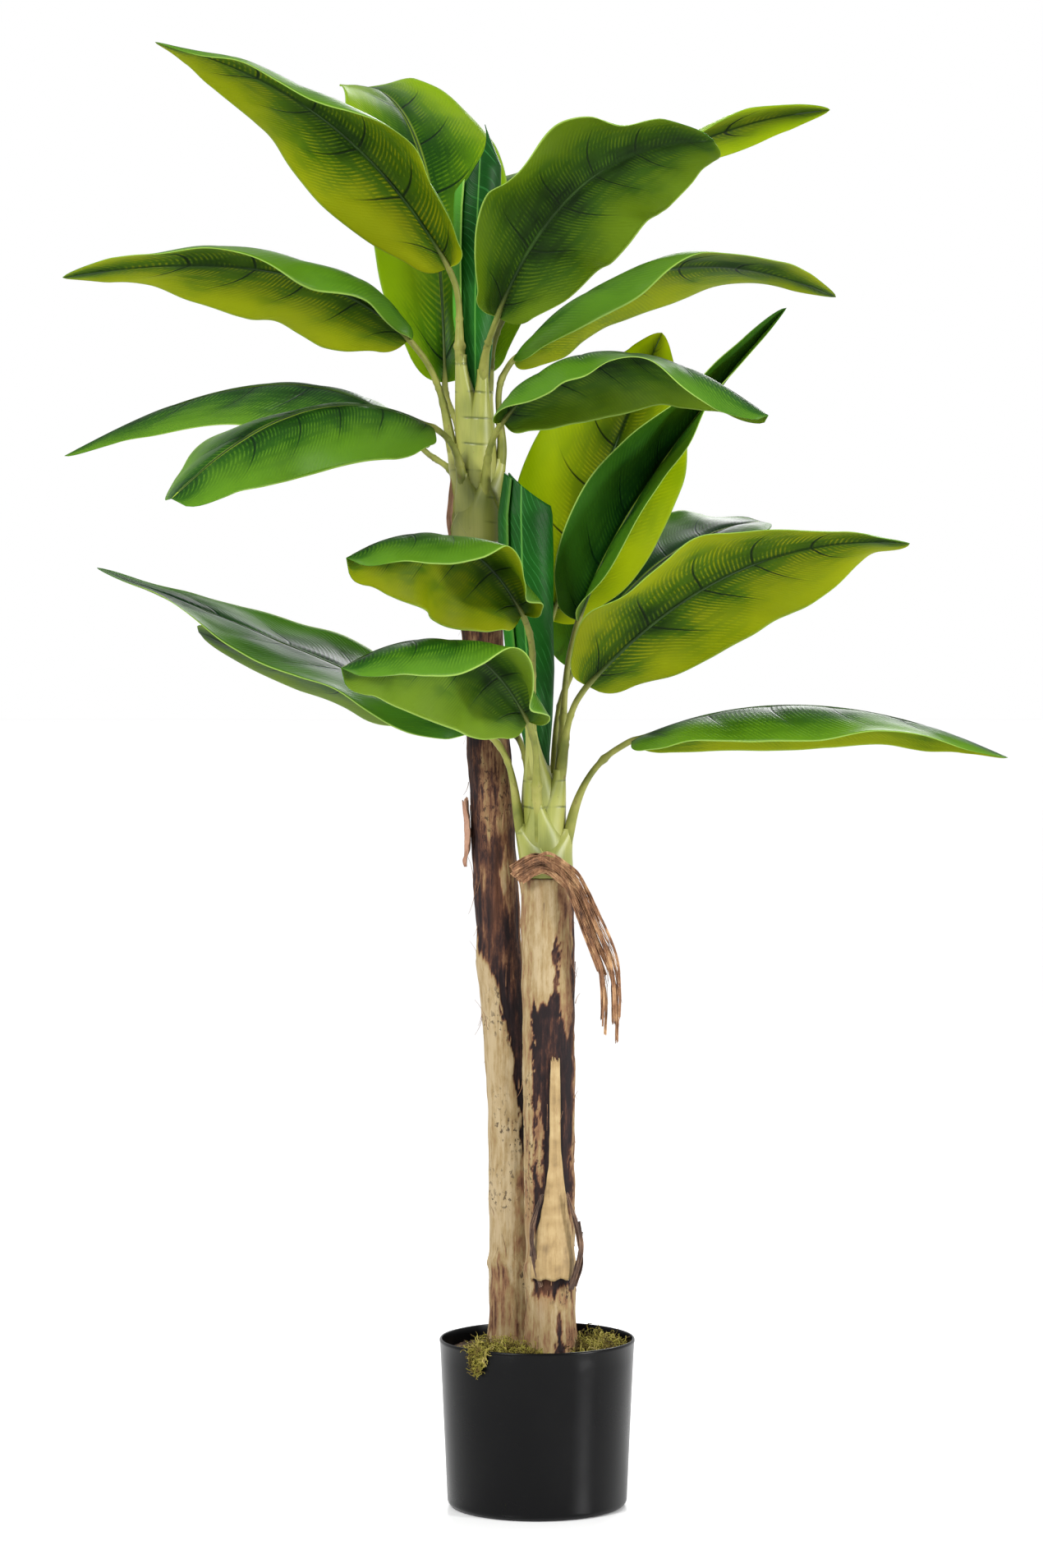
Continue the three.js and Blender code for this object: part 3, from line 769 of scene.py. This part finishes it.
def make_blade(name, leaf, shape, materials, draw):
    """The cloth of a leaf: waved margins, cloth puffed between its veins and a gutter along the rib."""
    ripples = draw.uniform(3.2, 5.0)
    shift = [draw.uniform(0, 1) for _ in range(4)]
    spot = scattered(draw, (0, 9), (0, 9), (0, 9))
    blade = surface(name, BLADE_ROWS, BLADE_COLUMNS, shape.point)
    places = [((i // (BLADE_COLUMNS + 1)) / BLADE_ROWS, (i % (BLADE_COLUMNS + 1)) / BLADE_COLUMNS)
              for i in range(len(blade.data.vertices))]
    normals = [v.normal.copy() for v in blade.data.vertices]
    for vertex, normal, (u, v) in zip(blade.data.vertices, normals, places):
        x = abs(2 * v - 1)
        hand = 0 if v > 0.5 else 1
        wave = 1.7 * lumps(ripples * u, 9 * shift[hand], spot.x)
        small = lumps(ripples * 2.2 * u, 9 * shift[hand + 2], spot.y)
        body = smooth(u, 0.0, 0.12) * (1 - smooth(u, 0.9, 1.0))
        ripple = RIPPLE * x ** 2.2 * (wave + 0.35 * small) * body
        puff = VEIN_RELIEF * abs(math.sin(math.pi * (vein_phase(u, v) - 0.5))) ** 0.6
        puff *= (1 - smooth(x, 0.5, 0.9)) * smooth(x, 0.0, 0.1) * body
        gutter = -1.4 * MM * math.exp(-((x / 0.07) ** 2)) * body
        lump = 2.6 * MM * grain(vertex.co + spot, 60 * MM) * smooth(x, 0, 0.3)
        calm = smooth(shape.reach(u), 0, CALM_WIDTH)
        vertex.co = vertex.co + normal * ((ripple + puff + gutter + lump) * calm)
    thicken(blade, BLADE_THICK, materials)
    return finish_piece(blade, materials, [leaf])


def make_stalk(name, stalk, shape, material, draw):
    """The wired stalk, and the rib that it goes on as under the blade."""
    points = shape.stalk
    sunk = points[0] - (points[1] - points[0]).normalized() * 45 * MM
    lower = [along([sunk] + points, i / 12) for i in range(13)]
    under = []
    for i in range(1, 14):
        u = i / 13 * 0.97
        depth = lerp(1.3, 0.2, u) * MM
        under.append(shape.rib(u) - shape.up(u) * depth)
    centres = lower + under
    knots = [draw.uniform(0.12, 0.42) for _ in range(3)]

    def radius(u, angle):
        stem = lerp(5.4, 3.2, smooth(u, 0.08, 0.3)) * MM
        rib = lerp(2.0, 0.6, smooth(u, 0.5, 1.0)) * MM
        r = lerp(stem, rib, smooth(u, 0.48, 0.54))
        swell = sum(math.exp(-(((u - k) / 0.008) ** 2)) for k in knots)
        return r * (1 + 0.22 * swell + 0.05 * math.sin(3 * angle))

    stem = tube(name, centres, radius, 84, 12)
    return finish_piece(stem, [material], [stalk])


def make_leaves(stem, count, kinds, looks, draw):
    """Every leaf of a stem: blade and stalk. Gives back each leaf's shape."""
    shapes = []
    for i in range(1, count + 1):
        leaf = f"{stem}_leaf_{i}"
        stalk = f"{stem}_stalk_{i}"
        shape = Blade(leaf, stalk)
        make_blade(f"{stem}_blade_{i}", leaf, shape, looks["leaf"][kinds[i - 1]], draw)
        make_stalk(f"{stem}_stem_{i}", stalk, shape, looks["stalk"], draw)
        shapes.append(shape)
    return shapes


# ---- sheaths ----
def make_sheath(name, foot, axis, bottom, snug, draw):
    """The clasping foot of one leaf: a broad channel round the stem that narrows up into the stalk."""
    low = max(foot.z - SHEATH_LENGTH, bottom)
    centre, _ = at_height(axis, foot.z)
    away = foot - centre
    away.z = 0
    reach = away.length
    facing = math.atan2(away.y, away.x) + draw.uniform(-0.12, 0.12)
    away.normalize()

    def place(u, v):
        z = lerp(low, foot.z + 10 * MM, u)
        s = smooth(u, 0.35, 1.0)
        middle_line, _ = at_height(axis, z)
        hub = middle_line + away * (reach * s)
        r = lerp(snug, 5.2 * MM, s)
        across = 2 * v - 1
        angle = facing + across * lerp(2.0 * snug, 12.5 * MM, u) / r
        ripple = 0.35 * MM * lumps(angle * 3, z * 30, reach * 900) + 0.9 * MM * abs(across) ** 7
        return round_at(hub, r + ripple, angle, z)

    sheath = surface(name, 44, 30, place)
    return thicken(sheath, SHEATH_THICK)


def make_sheaths(stem, shapes, looks, draw):
    """All the sheaths of a stem, the lowest outermost, with the round core inside them."""
    trunk = trunk_rings(stem)
    spear = level_rings(f"{stem}_spear", SPEAR_RING)
    axis = trunk + spear
    bottom = trunk[-1][0].z + 0.6 * MM
    feet = sorted((shape.stalk[0] for shape in shapes), key=lambda p: -p.z)
    pieces = []
    for rank, foot in enumerate(feet):
        snug = (20.8 + 0.75 * rank) * MM
        pieces.append(make_sheath(f"{stem}_part_{rank}", foot, axis, bottom, snug, draw))
    top = spear[0][0].z - 12 * MM
    line = [at_height(axis, lerp(bottom, top, i / 12))[0] for i in range(13)]

    def radius(u, angle):
        return lerp(19.8, 11.0, smooth(u, 0.5, 1)) * MM

    pieces.append(tube(f"{stem}_core", line, radius, 40, 40))
    bundle = join(f"{stem}_clasping_sheaths", pieces)
    return finish_piece(bundle, [looks["sheath"]], [f"{stem}_sheaths"])


# ---- rolled leaves ----
def make_spear(stem, looks, slant, turns):
    """A leaf still rolled up: a spiral wall whose free edge runs up the front left. Its top slants: it is
    highest at the right, or at the left where slant is below 0."""
    rings = level_rings(f"{stem}_spear", SPEAR_RING)
    low = rings[0][0].z - 40 * MM
    high = rings[-1][0].z

    def place(u, v):
        angle = FREE_EDGE - 2 * math.pi * turns * (1 - v)
        drop = 0.5 * (abs(slant) - slant * math.cos(angle)) * smooth(u, 0.5, 1.0)
        z = lerp(low, high, u) - drop
        centre, radius = at_height(rings, max(z, rings[0][0].z))
        grow = lerp(1 - 0.2 * turns, 1.0, v)
        r = radius * grow * (1 + 0.015 * math.sin(5 * angle + 9 * u))
        return Vector((centre.x + 1.12 * r * math.cos(angle), centre.y + 0.8 * r * math.sin(angle), z))

    spear = surface(f"{stem}_rolled_leaf", 110, 96, place)
    thicken(spear, SPEAR_THICK)
    return finish_piece(spear, [looks[f"{stem} spear"]], [f"{stem}_spear"])


# ---- trunks ----
# Each old leaf base on a trunk: the way it faces and its half-width in degrees, its lowest and highest point
# as shares of the trunk's height, how far it stands proud in millimetres, and its tone, from 0 for black to 1
# for pale.
PATCHES = {
    "tall": [
        (270, 185, 0.46, 1.3, 0.5, 0.3), (312, 26, 0.56, 0.98, 0.9, 0.5), (240, 26, 0.8, 1.1, 0.7, 0.46),
        (262, 20, 0.66, 0.8, 0.8, 0.56), (296, 22, 0.585, 0.635, 1.4, 0.85), (205, 88, -0.1, 0.52, 2.2, 0.9),
        (296, 28, -0.1, 0.27, 1.8, 0.7), (238, 36, 0.0, 0.14, 3.2, 0.56), (330, 24, 0.1, 0.4, 1.0, 0.5),
        (20, 45, -0.1, 0.6, 1.6, 0.8), (80, 50, 0.3, 1.1, 1.8, 0.55), (120, 40, -0.1, 0.42, 1.4, 0.72),
        (160, 30, 0.55, 1.1, 1.2, 0.42),
    ],
    "short": [
        (262, 75, 0.88, 1.2, 1.4, 0.74), (240, 40, 0.75, 1.3, 1.6, 0.84), (316, 24, 0.69, 1.3, 0.9, 0.6),
        (204, 27, -0.1, 1.3, 1.6, 0.76), (246, 10, 0.36, 0.55, 1.0, 0.6), (352, 14, -0.1, 1.3, 0.6, 0.28),
        (345, 24, -0.1, 0.5, 1.2, 0.42), (270, 88, -0.1, 0.17, 2.6, 0.74), (290, 9, -0.1, 0.13, 1.0, 0.24),
        (20, 46, -0.1, 0.7, 1.8, 0.7), (100, 60, 0.2, 1.1, 1.6, 0.66), (150, 40, -0.1, 0.5, 1.8, 0.78),
    ],
}


def patch_cover(angle, share, patch, seed):
    """How much of a patch lies at a place on a trunk, from 0 to 1, with ragged edges."""
    facing, half, low, high, _, _ = patch
    off = abs((math.degrees(angle) - facing + 180) % 360 - 180)
    broad = lumps(off * 0.13, share * 34, seed)
    torn = lumps(angle * 9, share * 90, seed)
    frayed = lumps(angle * 30, share * 200, seed)
    narrow = half * (1 - 0.5 * smooth(share, lerp(low, high, 0.6), high))
    side = 1 - smooth(off + broad * 10 + torn * 7 + frayed * 5, narrow - 3, narrow + 3)
    ends = 0.02 + 0.03 * lumps(angle * 7, seed, 2.5) + 0.025 * lumps(angle * 2, seed, 7)
    drawn_in = 0.05 * min(off / half, 1) ** 1.5
    top = 1 - smooth(share + ends + drawn_in, high - 0.006, high + 0.006)
    foot = smooth(share + ends - 0.6 * drawn_in, low - 0.006, low + 0.006)
    return side * top * foot


def make_trunk(stem, looks, seed):
    """A trunk of old leaf bases: overlapping skins with ragged edges, each with its own tone, over fibres,
    knobs and a scar."""
    rings = trunk_rings(stem)
    low, high = ends_of(rings)
    rows = round((high - low) / BARK_STEP)
    tones = {}

    def place(u, v):
        z = lerp(low, high, u)
        angle = 2 * math.pi * v
        centre, radius = at_height(rings, z)
        spot = round_at(MIDDLE, radius, angle, z * 0.12 + seed)
        fibre = 0.45 * MM * grain(spot, 1.6 * MM) + 0.7 * MM * grain(spot, 5 * MM)
        knobs = 1.5 * MM * grain(Vector((spot.x, spot.y, z + seed)), 30 * MM)
        lift = 0.0
        tone = BARE_TONE + 0.1 * grain(Vector((spot.x, spot.y, z * 0.3)), 12 * MM)
        for k, patch in enumerate(PATCHES[stem]):
            cover = patch_cover(angle, u, patch, seed + 3.1 * k)
            lift = lerp(lift, patch[4] * MM, cover)
            tone = lerp(tone, patch[5], cover)
        over_scar = z - low - SCAR_HEIGHT - 5 * MM * math.sin(angle * 2)
        scar = 2.2 * MM * math.exp(-((over_scar / (6 * MM)) ** 2))
        r = radius - 1.6 * MM + lift + fibre + knobs + scar
        tones[(round(u * rows), round(v * BARK_COLUMNS) % BARK_COLUMNS)] = clamp(tone)
        return round_at(centre, r, angle, z)

    trunk = surface(f"{stem}_bark", rows, BARK_COLUMNS, place)
    attribute = trunk.data.attributes.new("tone", "FLOAT", "POINT")
    for i in range(len(trunk.data.vertices)):
        row, column = divmod(i, BARK_COLUMNS + 1)
        attribute.data[i].value = tones[(row, column % BARK_COLUMNS)]
    close_up(trunk)
    return finish_piece(trunk, [looks["bark"]], [f"{stem}_trunk"])


# ---- dry strips and threads ----
def make_wrapped_strip(name, node, stem, widths, lifted, looks, look):
    """A skin that hugs a trunk where a node marks it. widths are its half-angles from foot to top, and its
    sides stand off by lifted."""
    rings = trunk_rings(stem)
    low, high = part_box(node)
    core = at_height(rings, (low.z + high.z) / 2)[0]
    away = (low + high) / 2 - core
    facing = math.atan2(away.y, away.x)

    def place(u, v):
        z = lerp(low.z, high.z, u)
        centre, radius = at_height(rings, z)
        half = math.radians(along(widths, u)) * (1 + 0.08 * lumps(u * 18, v * 2, 1.7))
        across = 2 * v - 1
        angle = facing + across * half
        swell = 7.0 * MM * math.exp(-(((u - 0.06) / 0.13) ** 2)) * (1 - across * across)
        lift = 2.4 * MM + lifted * abs(across) ** 3 + swell + 0.5 * MM * lumps(v * 16, u * 5, 3)
        rag = 5 * MM * lumps(v * 7, 4.2, u) * (smooth(u, 0.9, 1.0) + 1 - smooth(u, 0.0, 0.06))
        return round_at(centre, radius + lift, angle, z + rag)

    strip = surface(name, 70, 22, place)
    thicken(strip, STRIP_THICK)
    return finish_piece(strip, [looks[look]], [node])


def ribbon(name, centres, width, draw, rows, ragged=6 * MM):
    """A dry leaf strip along a line: folded down its middle, twisting, with a torn end."""
    frames = frames_on(centres, rows)
    twist = draw.uniform(-0.9, 0.9)
    start = draw.uniform(-0.3, 0.3)
    seed = draw.uniform(0, 50)

    def place(u, v):
        centre, side, across = frames[round(u * rows)]
        ahead = side.cross(across)
        flat = FRONT.cross(ahead).normalized()
        out = ahead.cross(flat).normalized()
        turn = start + twist * u
        arm = flat * math.cos(turn) + out * math.sin(turn)
        x = 2 * v - 1
        half = width * (1 - 0.45 * u) * (1 + 0.3 * lumps(u * 6, seed, 0))
        fold = out * (width * 0.55 * (abs(x) - 0.5))
        torn = ragged * lumps(v * 9, seed, 3) * smooth(u, 0.85, 1.0)
        wrinkle = 0.8 * MM * lumps(u * 22, v * 5, seed)
        return centre + arm * (half * x) + fold + out * wrinkle + ahead * torn

    strip = surface(name, rows, 10, place)
    return thicken(strip, RIBBON_THICK)


def husk_line():
    """The line of the hanging husk: over the front of the trunk's top, then down along its node's rings."""
    mesh = welded("husk_strip")
    points = sorted((v.co.copy() for v in mesh.verts), key=lambda p: p.x - p.z)
    mesh.free()
    return [middle(points[i:i + 8]) for i in range(0, len(points), 8)]


def make_husk(looks, draw):
    """The dead leaf base on the short trunk: a bundle of torn strips and threads that hangs to the right."""
    line = husk_line()
    wrap = [line[0] + mm(-27, 2, -12), line[0] + mm(-14, -4, -2)]
    parts = []
    for k in range(HUSK_RIBBONS):
        shift = scattered(draw, (-9, 7), (-6, 3), (-13, 8)) * MM
        keep = line if k < 9 else line[:draw.randint(4, 6)]
        centres = []
        for i, p in enumerate(wrap + keep):
            jitter = scattered(draw, (-1.5, 1.5), (-1.5, 1.5), (-1.5, 1.5)) * MM
            centres.append(p + shift * (0.7 + 0.5 * i / len(keep)) + jitter)
        parts.append(ribbon(f"husk_part_{k}", centres, draw.uniform(1.4, 3.4) * MM, draw, 60))
    threads = []
    for _ in range(HUSK_THREADS):
        shift = scattered(draw, (-9, 8), (-8, 5), (-9, 7)) * MM
        stop = draw.uniform(0.5, 1.0)
        radius = draw.uniform(0.25, 0.6) * MM
        swing = draw.uniform(0, 20)
        thread = []
        for i in range(22):
            t = i / 21
            wobble = Vector((lumps(t * 5, swing, 0), lumps(t * 5, swing, 9), 0))
            place = along(wrap + line, t * stop) + shift * (0.6 + 0.6 * t) + wobble * 5 * MM * t
            thread.append((place, radius * (1 - 0.6 * t)))
        threads.append(thread)
    parts.append(strands("husk_threads", threads))
    husk = join("hanging_husk", parts)
    return finish_piece(husk, [looks["husk"]], ["husk_strip"], 50)


def make_tongue_edges(looks, draw):
    """Dark curled remains on both sides of the pale tongue's foot."""
    low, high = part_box("bark_tongue")
    parts = []
    for side, x in ((-1, low.x - 2 * MM), (1, high.x + 4 * MM)):
        y = lerp(low.y, high.y, 0.25)
        base = Vector((x - side * 1 * MM, y, low.z - 8 * MM))
        centres = [
            base + mm(-side * 6, 0, 0), base + mm(side * 1, -2, 30),
            base + mm(side * 2, -3, 58), base + mm(-side * 9, -2, 92),
        ]
        for k in range(4):
            bent = []
            for c in centres[k % 2:] if side < 0 else centres[:4 - k % 2]:
                bent.append(c + scattered(draw, (-3, 3), (-1, 4), (-7, 7)) * MM)
            parts.append(ribbon(f"edge_{x:.3f}_{k}", bent, draw.uniform(1.0, 2.4) * MM, draw, 30))
    edges = join("tongue_edges", parts)
    return finish_piece(edges, [looks["dark husk"]], (), 50)


def make_dry_strip(looks, draw):
    """A pinkish dry strip that stands up along the tall trunk's sheaths."""
    rings = trunk_rings("tall")
    centre, radius = rings[-1]
    foot = centre + Vector((-radius - 1 * MM, -9 * MM, -14 * MM))
    centres = [foot + Vector(p) * MM for p in ((0, 0, 0), (-4, 0, 40), (-1, 0, 85), (-5, 2, 128))]
    strip = ribbon("dry_strip", centres, 5 * MM, draw, 40, 9 * MM)
    return finish_piece(strip, [looks["pale husk"]], (), 50)


def make_stray_fibres(looks, draw):
    """Loose fibres and flakes that stand off both trunks."""
    lines = []
    for stem, count in (("tall", 60), ("short", 55)):
        rings = trunk_rings(stem)
        low, high = ends_of(rings)
        for _ in range(count):
            z = lerp(low + 20 * MM, high, draw.random())
            angle = draw.uniform(0, 2 * math.pi)
            centre, radius = at_height(rings, z)
            out = round_at(MIDDLE, 1, angle, 0)
            length = draw.uniform(8, 34) * MM
            lean = draw.uniform(0.05, 0.45)
            hand = draw.choice((-1, 1))
            thin = draw.uniform(0.2, 0.45) * MM
            line = []
            for i in range(7):
                t = i / 6
                off = out * (radius + 0.4 * MM + lean * length * t * t)
                rise = UP * (hand * length * t * (1 - 0.3 * lean))
                line.append((centre + off + rise, thin * (1 - 0.7 * t)))
            lines.append(line)
    fibres = strands("loose_fibres", lines)
    return finish_piece(fibres, [looks["husk"]])


# ---- pot and filling ----
def make_pot(looks):
    """The pot's wall in one closed profile, from the middle of its underside round the rim and back in."""
    rim, _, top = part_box("pot")[1]
    profile = [(0, 0), (60, 0), (84, 0)]
    for k in range(7):
        turn = math.pi / 2 * k / 6
        profile.append((85 + 7 * math.sin(turn), 7 - 7 * math.cos(turn)))
    for t in (0.15, 0.35, 0.55, 0.75, 0.9):
        profile.append((lerp(92, rim / MM - 0.7, t), lerp(7, top / MM - 5, t)))
    outer = [(-0.5, -4.4), (-0.1, -3.4), (0, -2.4), (-0.2, -1.0), (-0.8, -0.2)]
    inner = [(-1.6, 0), (-2.3, -0.4), (-2.6, -1.4), (-2.9, -8)]
    profile += [(rim / MM + x, top / MM + z) for x, z in outer + inner]
    profile += [(rim / MM - 3.4, 150), (rim / MM - 6, 90), (89, 12), (84, 5), (0, 4.5)]
    rows = len(profile) - 1
    columns = 144

    def place(u, v):
        r, z = profile[round(u * rows)]
        angle = 2 * math.pi * v
        return round_at(MIDDLE, r, angle, z) * MM

    pot = close_up(surface("pot_shell", rows, columns, place))
    return finish_piece(pot, [looks["pot"]], ["pot"], 40)


def make_soil(looks, draw):
    """The filling's rough top, with short coir fibres lying on it."""
    edge, _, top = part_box("soil")[1]
    edge -= 0.6 * MM

    def place(u, v):
        angle = 2 * math.pi * v
        share = 2 * u
        if share <= 1:
            r = edge * share
            rough = 1.6 * MM * grain(round_at(MIDDLE, r, angle, 0), 7 * MM)
            rough += 2.5 * MM * grain(round_at(MIDDLE, r, angle, 3), 28 * MM)
            return round_at(MIDDLE, r, angle, top + rough * (1 - share ** 8))
        return round_at(MIDDLE, edge * (2 - share) * 0.98, angle, top - BED_DEPTH)

    bed = close_up(surface("coir_bed", 60, 120, place))
    lines = []
    for _ in range(COIR_FIBRES):
        angle = draw.uniform(0, 2 * math.pi)
        r = edge * 0.97 * math.sqrt(draw.random())
        spot = round_at(MIDDLE, r, angle, top + draw.uniform(0.3, 2.4) * MM)
        turn = draw.uniform(0, math.pi)
        length = min(draw.uniform(4, 16) * MM, 2 * (edge - r) + 3 * MM)
        lie = round_at(MIDDLE, 1, turn, draw.uniform(-0.1, 0.25))
        bow = Vector((-lie.y, lie.x, 0.2)) * draw.uniform(-0.3, 0.3)
        radius = draw.uniform(0.2, 0.55) * MM
        line = []
        for i in range(5):
            t = i / 4 - 0.5
            line.append((spot + lie * (length * t) + bow * (length * (0.25 - t * t)), radius))
        lines.append(line)
    soil = join("coir_filling", [bed, strands("coir_fibres", lines)])
    return finish_piece(soil, [looks["soil"]], ["soil"], 60)


def moss_stem(start, heading, length, radius, draw, droop=0.0):
    """One curly moss stem."""
    steps = 9
    line = [(start, radius)]
    place = start
    seed = scattered(draw, (0, 99), (0, 99), (0, 99))
    for i in range(steps):
        t = (i + 1) / steps
        spots = (seed + UP * t * 4, seed + FRONT * t * 4, seed * 1.7 + UP * t * 4)
        bend = Vector([noise.noise(spot) for spot in spots])
        heading = (heading + bend * 2.2 + Vector((0, 0, -droop))).normalized()
        place = place + heading * (length / steps)
        line.append((place, radius * (1 - 0.5 * t)))
    return line


def clear_of_wall(line, rim, outside):
    """A moss stem kept off the pot's wall: inside it, or outside where it hangs over the rim."""
    limit = rim.x + 1 * MM if outside else rim.x - 5 * MM
    kept = []
    for spot, radius in line:
        far = math.hypot(spot.x, spot.y)
        if spot.z < rim.z + 1 * MM and (far < limit if outside else far > limit):
            spot = Vector((spot.x * limit / far, spot.y * limit / far, spot.z))
        kept.append((spot, radius))
    return kept


def make_moss(name, node, centre, spread, looks, draw, over=None):
    """A clump of dry curly moss on the soil. over is a place on the rim where some of it hangs out."""
    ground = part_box("soil")[1].z
    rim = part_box("pot")[1]
    edge = rim.x - 6 * MM
    lines = []
    for _ in range(MOSS_STEMS):
        angle = draw.uniform(0, 2 * math.pi)
        share = math.sqrt(draw.random())
        x = centre.x + spread.x * share * math.cos(angle)
        y = centre.y + spread.y * share * math.sin(angle)
        far = math.hypot(x, y)
        if far > edge:
            x *= edge / far
            y *= edge / far
        mound = spread.z * (1 - share * share)
        lump = 0.4 * mound * noise.noise(Vector((x, y, 0)) / (16 * MM))
        start = Vector((x, y, ground + draw.uniform(0, 1) * max(mound + lump, 1 * MM)))
        heading = round_at(MIDDLE, 1, angle, draw.uniform(-0.1, 1.1))
        stem = moss_stem(start, heading, draw.uniform(9, 20) * MM, draw.uniform(0.35, 0.85) * MM, draw)
        lines.append(clear_of_wall(stem, rim, False))
    if over:
        out = Vector((over.x, over.y, 0)).normalized()
        across = Vector((-out.y, out.x, 0))
        for _ in range(MOSS_OVER_RIM):
            hang = draw.random() ** 1.3
            start = over + across * draw.uniform(-13, 13) * MM * (1 - 0.7 * hang)
            start = start + out * draw.uniform(-12, 5) * MM * (1 - hang) + out * 4 * MM * hang
            start = start - UP * (24 * MM * hang) + UP * draw.uniform(0, 6) * MM
            heading = scattered(draw, (-1, 1), (-0.4, 0.4), (-0.8, 0.6)) + out * 0.2
            length = draw.uniform(6, 12) * MM
            stem = moss_stem(start, heading, length, draw.uniform(0.35, 0.8) * MM, draw, 0.15)
            lines.append(clear_of_wall(stem, rim, True))
    moss = strands(name, lines)
    return finish_piece(moss, [looks["moss"]], [node])


# ---- camera, light and floor ----
def make_camera():
    camera = bpy.data.objects.new("Camera", bpy.data.cameras.new("Camera"))
    bpy.context.collection.objects.link(camera)
    camera.data.sensor_width = 36
    camera.data.lens = 101.5
    camera.data.clip_end = 100
    camera.location = mm(-16, -4500, 924)
    aim = mm(-16, 0, 739) - camera.location
    camera.rotation_euler = aim.to_track_quat("-Z", "Y").to_euler()
    bpy.context.scene.camera = camera


def add_light(name, place, target, size, watts):
    light = bpy.data.objects.new(name, bpy.data.lights.new(name, "AREA"))
    bpy.context.collection.objects.link(light)
    light.data.shape = "SQUARE"
    light.data.size = size
    light.data.energy = watts
    light.location = place
    light.rotation_euler = (Vector(target) - Vector(place)).to_track_quat("-Z", "Y").to_euler()


def make_studio():
    world = bpy.data.worlds.new("Studio")
    bpy.context.scene.world = world
    world.use_nodes = True
    world.node_tree.nodes["Background"].inputs[0].default_value = (1, 1, 1, 1)
    world.node_tree.nodes["Background"].inputs[1].default_value = 1.0
    add_light("Key", (-2.0, -2.6, 2.8), (0, 0, 0.9), 0.9, 150)
    add_light("Side", (2.8, -1.6, 1.2), (0, 0, 0.5), 0.4, 85)
    add_light("Behind", (0.6, 2.6, 2.4), (0, 0, 1.0), 1.2, 55)
    bpy.context.scene.view_settings.view_transform = "Standard"
    bpy.ops.object.select_all(action="DESELECT")
    bpy.ops.mesh.primitive_plane_add(size=60)
    floor = bpy.context.object
    floor.name = "floor"
    wires, _ = new_material("Floor")
    floor.data.materials.append(wires.finish(wires.coat((0.985, 0.985, 0.985, 1), 0.14)))


def make_looks():
    """Every finish, by a plain name."""
    make_vein_group()
    make_fibre_group()
    return {
        "leaf": leaf_materials(),
        "stalk": stalk_material(),
        "sheath": sheath_material(),
        "tall spear": spear_material("Tall rolled leaf", 0.36, 0.88, 0.8),
        "short spear": spear_material("Short rolled leaf", 0.38, 0.97, 0.15),
        "bark": bark_material(),
        "husk": husk_material("Husk", [(0.36, "2e1a12"), (0.5, "7c5638"), (0.62, "b08c64")]),
        "dark husk": husk_material("Dark husk", [(0.36, "241915"), (0.5, "493427"), (0.64, "7c6048")]),
        "pale husk": husk_material("Pale husk", [(0.35, "74503a"), (0.52, "96705a"), (0.7, "ae8c72")]),
        "tongue": husk_material(
            "Pale bark skin", [(0.34, "66502e"), (0.5, "8c744a"), (0.64, "a08a60")], 0.65
        ),
        "moss": moss_material(),
        "soil": soil_material(),
        "pot": pot_material(),
    }


# The copy of the leaf finish for each leaf, in order: the darker copies paint in shade, and the yellower copy
# paints in the glow of light from behind.
TALL_KINDS = ["green", "painted_backlight", "green", "green", "green", "deep", "painted_backlight", "green", "green", "shaded"]
SHORT_KINDS = ["painted_backlight", "deep", "deep", "green", "green", "green", "deep", "deep", "shaded"]

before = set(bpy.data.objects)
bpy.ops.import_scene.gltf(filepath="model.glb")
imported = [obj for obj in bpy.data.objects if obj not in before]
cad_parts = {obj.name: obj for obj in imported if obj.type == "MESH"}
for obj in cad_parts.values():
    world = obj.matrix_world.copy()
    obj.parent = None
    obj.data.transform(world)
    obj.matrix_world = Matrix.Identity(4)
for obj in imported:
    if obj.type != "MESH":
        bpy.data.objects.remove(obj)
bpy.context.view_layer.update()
looks = make_looks()
make_camera()
make_studio()
draw = random.Random(SEED)
for stem, kinds, slant, turns in (("tall", TALL_KINDS, 70 * MM, 1.4), ("short", SHORT_KINDS, -34 * MM, 1.5)):
    shapes = make_leaves(stem, len(kinds), kinds, looks, draw)
    make_sheaths(stem, shapes, looks, draw)
    make_spear(stem, looks, slant, turns)
    make_trunk(stem, looks, 3.0 if stem == "tall" else 11.0)
tongue_widths = [58, 44, 27, 15, 11, 11, 9]
flap_widths = [8, 20, 26, 22, 10]
make_wrapped_strip("pale_tongue", "bark_tongue", "short", tongue_widths, 0.6 * MM, looks, "tongue")
make_wrapped_strip("lifted_flap", "bark_flap", "tall", flap_widths, 5 * MM, looks, "pale husk")
make_tongue_edges(looks, draw)
make_husk(looks, draw)
make_dry_strip(looks, draw)
make_stray_fibres(looks, draw)
make_pot(looks)
make_soil(looks, draw)
make_moss("moss_at_left", "moss_left", mm(-38, -56, 0), mm(46, 36, 22), looks, draw, mm(-60, -80, 170))
make_moss("moss_at_right", "moss_right", mm(60, -20, 0), mm(36, 46, 24), looks, draw)
